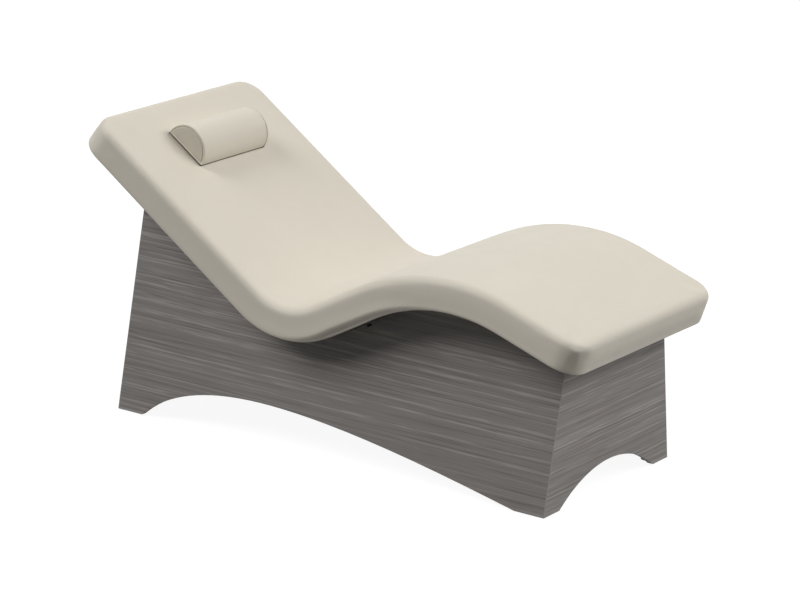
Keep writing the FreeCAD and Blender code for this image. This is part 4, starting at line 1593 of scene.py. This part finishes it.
@dataclass(frozen=True)
class FarLamp:
    """A wide soft lamp, so far off that it lights the whole bed evenly."""

    name: str
    way: Way
    strength: float
    spread: float = 34.0
    away: float = 6.0

    def build(self) -> None:
        """Hang the lamp, shining from its way towards the bed."""
        deselect_all()
        bpy.ops.object.light_add(type="SUN", location=Vector(self.way) * self.away)
        lamp = name_new(self.name)
        lamp.data.energy = self.strength
        lamp.data.angle = math.radians(self.spread)
        lamp.rotation_euler = Vector(self.way).to_track_quat("Z", "Y").to_euler()


@dataclass
class Studio:
    """The pale floor, the white surroundings, the lamps and the camera."""

    floor_size: float = 40.0
    floor_own: float = 0.93
    floor_shadow: float = 0.15
    floor_bounce: float = 0.16
    sky: float = 0.18
    target: Way = (0.02747, 0.0, 0.4245)
    azimuth: float = 32.846
    elevation: float = 16.269
    roll: float = 2.591
    distance: float = 10.7627
    lens: float = 161.963
    sensor: float = 36.0
    view_end: float = 100.0
    lamps: tuple[FarLamp, ...] = (
        FarLamp("head_side_lamp", (-0.478, -0.548, 0.687), 2.105),
        FarLamp("foot_side_lamp", (0.702, 0.383, 0.600), 2.147, 46.0),
    )

    def split_view(self, graph: Graph, lit: bpy.types.Node, seen: bpy.types.Node) -> Socket:
        """Return what light meets, and another look for rays that show it as it is.

        Args:
            graph: the material's or the surroundings' graph.
            lit: the shader that light meets.
            seen: the shader that the eye sees, directly, in gloss or through glass.

        Returns:
            The two shaders as one.
        """
        path = graph.add("ShaderNodeLightPath").outputs
        direct = graph.math("MAXIMUM", path["Is Camera Ray"], path["Is Glossy Ray"])
        direct = graph.math("MAXIMUM", direct, path["Is Transmission Ray"])
        return graph.add("ShaderNodeMixShader",
                         {0: direct, 1: lit.outputs[0], 2: seen.outputs[0]}).outputs[0]

    def floor(self) -> None:
        """Lay a pale floor that keeps a faint shadow and bounces some light."""
        deselect_all()
        bpy.ops.mesh.primitive_plane_add(size=self.floor_size)
        floor = name_new("studio_floor")
        material = bpy.data.materials.new("pale_floor")
        material.use_nodes = True
        graph = Graph(material.node_tree)
        shadow = graph.add("ShaderNodeBsdfDiffuse", {"Color": (*(self.floor_shadow,) * 3, 1.0)})
        own = graph.add("ShaderNodeEmission", {"Color": WHITE, "Strength": self.floor_own})
        shown = graph.add("ShaderNodeAddShader", {0: shadow.outputs[0], 1: own.outputs[0]})
        bounce = graph.add("ShaderNodeBsdfDiffuse", {"Color": (*(self.floor_bounce,) * 3, 1.0)})
        graph.add("ShaderNodeOutputMaterial", {"Surface": self.split_view(graph, bounce, shown)})
        dress(floor, material)

    def surroundings(self) -> None:
        """Make the surroundings white to the eye, and to the bed a light from above."""
        world = bpy.data.worlds.new("white_surroundings")
        bpy.context.scene.world = world
        world.use_nodes = True
        graph = Graph(world.node_tree)
        rise = graph.split(graph.add("ShaderNodeTexCoord").outputs["Generated"])["Z"]
        strength = graph.math("MULTIPLY", graph.math("MAXIMUM", rise, 0.0), self.sky)
        light = graph.add("ShaderNodeBackground", {"Color": WHITE, "Strength": strength})
        white = graph.add("ShaderNodeBackground", {"Color": WHITE, "Strength": 1.0})
        graph.add("ShaderNodeOutputWorld", {"Surface": self.split_view(graph, light, white)})

    def camera(self) -> None:
        """Set up the camera at the photograph's angle, with its slight roll."""
        turn, rise, roll = (math.radians(angle)
                            for angle in (self.azimuth, self.elevation, self.roll))
        back = Vector((math.sin(turn) * math.cos(rise), -math.cos(turn) * math.cos(rise),
                       math.sin(rise)))
        right = (-back).cross(Vector((0.0, 0.0, 1.0))).normalized()
        up = back.cross(right)
        tilted_right = right * math.cos(roll) + up * math.sin(roll)
        tilted_up = up * math.cos(roll) - right * math.sin(roll)
        deselect_all()
        bpy.ops.object.camera_add()
        camera = name_new("photo_camera")
        turned = Matrix((tilted_right, tilted_up, back)).transposed().to_4x4()
        place = Vector(self.target) + back * self.distance
        camera.matrix_world = Matrix.Translation(place) @ turned
        camera.data.lens = self.lens
        camera.data.sensor_width = self.sensor
        camera.data.clip_end = self.view_end
        bpy.context.scene.camera = camera

    def build(self) -> None:
        """Set up the whole studio."""
        self.floor()
        self.surroundings()
        for lamp in self.lamps:
            lamp.build()
        self.camera()
        bpy.context.scene.view_settings.view_transform = "Standard"


def base_finishes() -> dict[str, Finish]:
    """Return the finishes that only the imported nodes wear, by the kind of node.

    Returns:
        The finishes by the kind of node.
    """
    return {
        "laminate": StreakedLaminate(),
        "board": MottledFinish("sealed_board", shade(98, 92, 88), shade(122, 116, 111),
                               depth=0.0001, cloud=0.08, share=0.6, roughness=(0.58, 0.72),
                               tones=(0.38, 0.62), scale=420.0, detail=3.0, grit=0.6),
        # Wood grain on a tone darkened as painted shadow, for the dark line under the cushion's
        # edge.
        "bearer": BareWood("bearer_wood_darkened_as_painted_shadow", shade(70, 64, 60), shade(92, 85, 80)),
        "ply": BareWood("formed_plywood", shade(176, 150, 112), shade(206, 182, 144)),
        "steel": MottledFinish("plated_steel", shade(150, 152, 155), shade(188, 190, 192),
                               depth=0.00003, cloud=0.006, share=0.0, roughness=(0.28, 0.42),
                               rough_share=0.0, scale=900.0, stretch=(1.0, 1.0, 6.0),
                               others=(("Metallic", 1.0),)),
        "glide": MottledFinish("moulded_glide", shade(28, 28, 29), shade(42, 42, 43),
                               depth=0.00004, cloud=0.01, share=0.0, roughness=(0.45, 0.6),
                               scale=1800.0, grit=0.6),
    }


def main() -> None:
    """Build every sub-assembly in order."""
    logging.basicConfig(level=logging.INFO, format="%(name)s: %(message)s")
    SharedEffects().build()
    profile = SideProfile()
    leather = FauxLeather().build()
    # The end panels' leather is a darker copy of the bed's leather: painted shade on the pillow's
    # ends.
    end_leather_painted_shade = FauxLeather("end_panel_leather_painted_shade", shade(196, 190, 177),
                              shade(193, 186, 173)).build()
    # Near-black cloth for the band under the pillow: painted shadow along the pillow's contact
    # line.
    painted_shadow_cloth = FauxLeather("painted_shadow_base_cloth", shade(46, 40, 36), shade(42, 37, 33)).build()
    felt = BondedFelt("dust_cloth", shade(44, 43, 42), shade(64, 62, 60), depth=0.00015,
                      cloud=0.05, share=0.5, roughness=(0.85, 0.95), scale=1400.0, detail=3.0,
                      grit=0.7, stretch=(1.0, 0.35, 1.0),
                      others=(("Sheen Weight", 0.25),)).build()
    tape = LoopedPile("fastening_tape", shade(52, 48, 44), shade(84, 79, 73), depth=0.0003,
                      cloud=0.02, share=0.6, roughness=(0.8, 0.95), tones=(0.25, 0.7),
                      rough_span=(0.1, 0.6), scale=900.0,
                      others=(("Sheen Weight", 0.3),)).build()
    finishes = {kind: finish.build() for kind, finish in base_finishes().items()}
    Carcass({**finishes, "leather": leather, "felt": felt, "tape": tape}).build()
    Bed(profile, leather, felt).build()
    Pillow(profile, leather, end_leather_painted_shade, painted_shadow_cloth, tape).build()
    Studio().build()


if __name__ == "__main__":
    main()
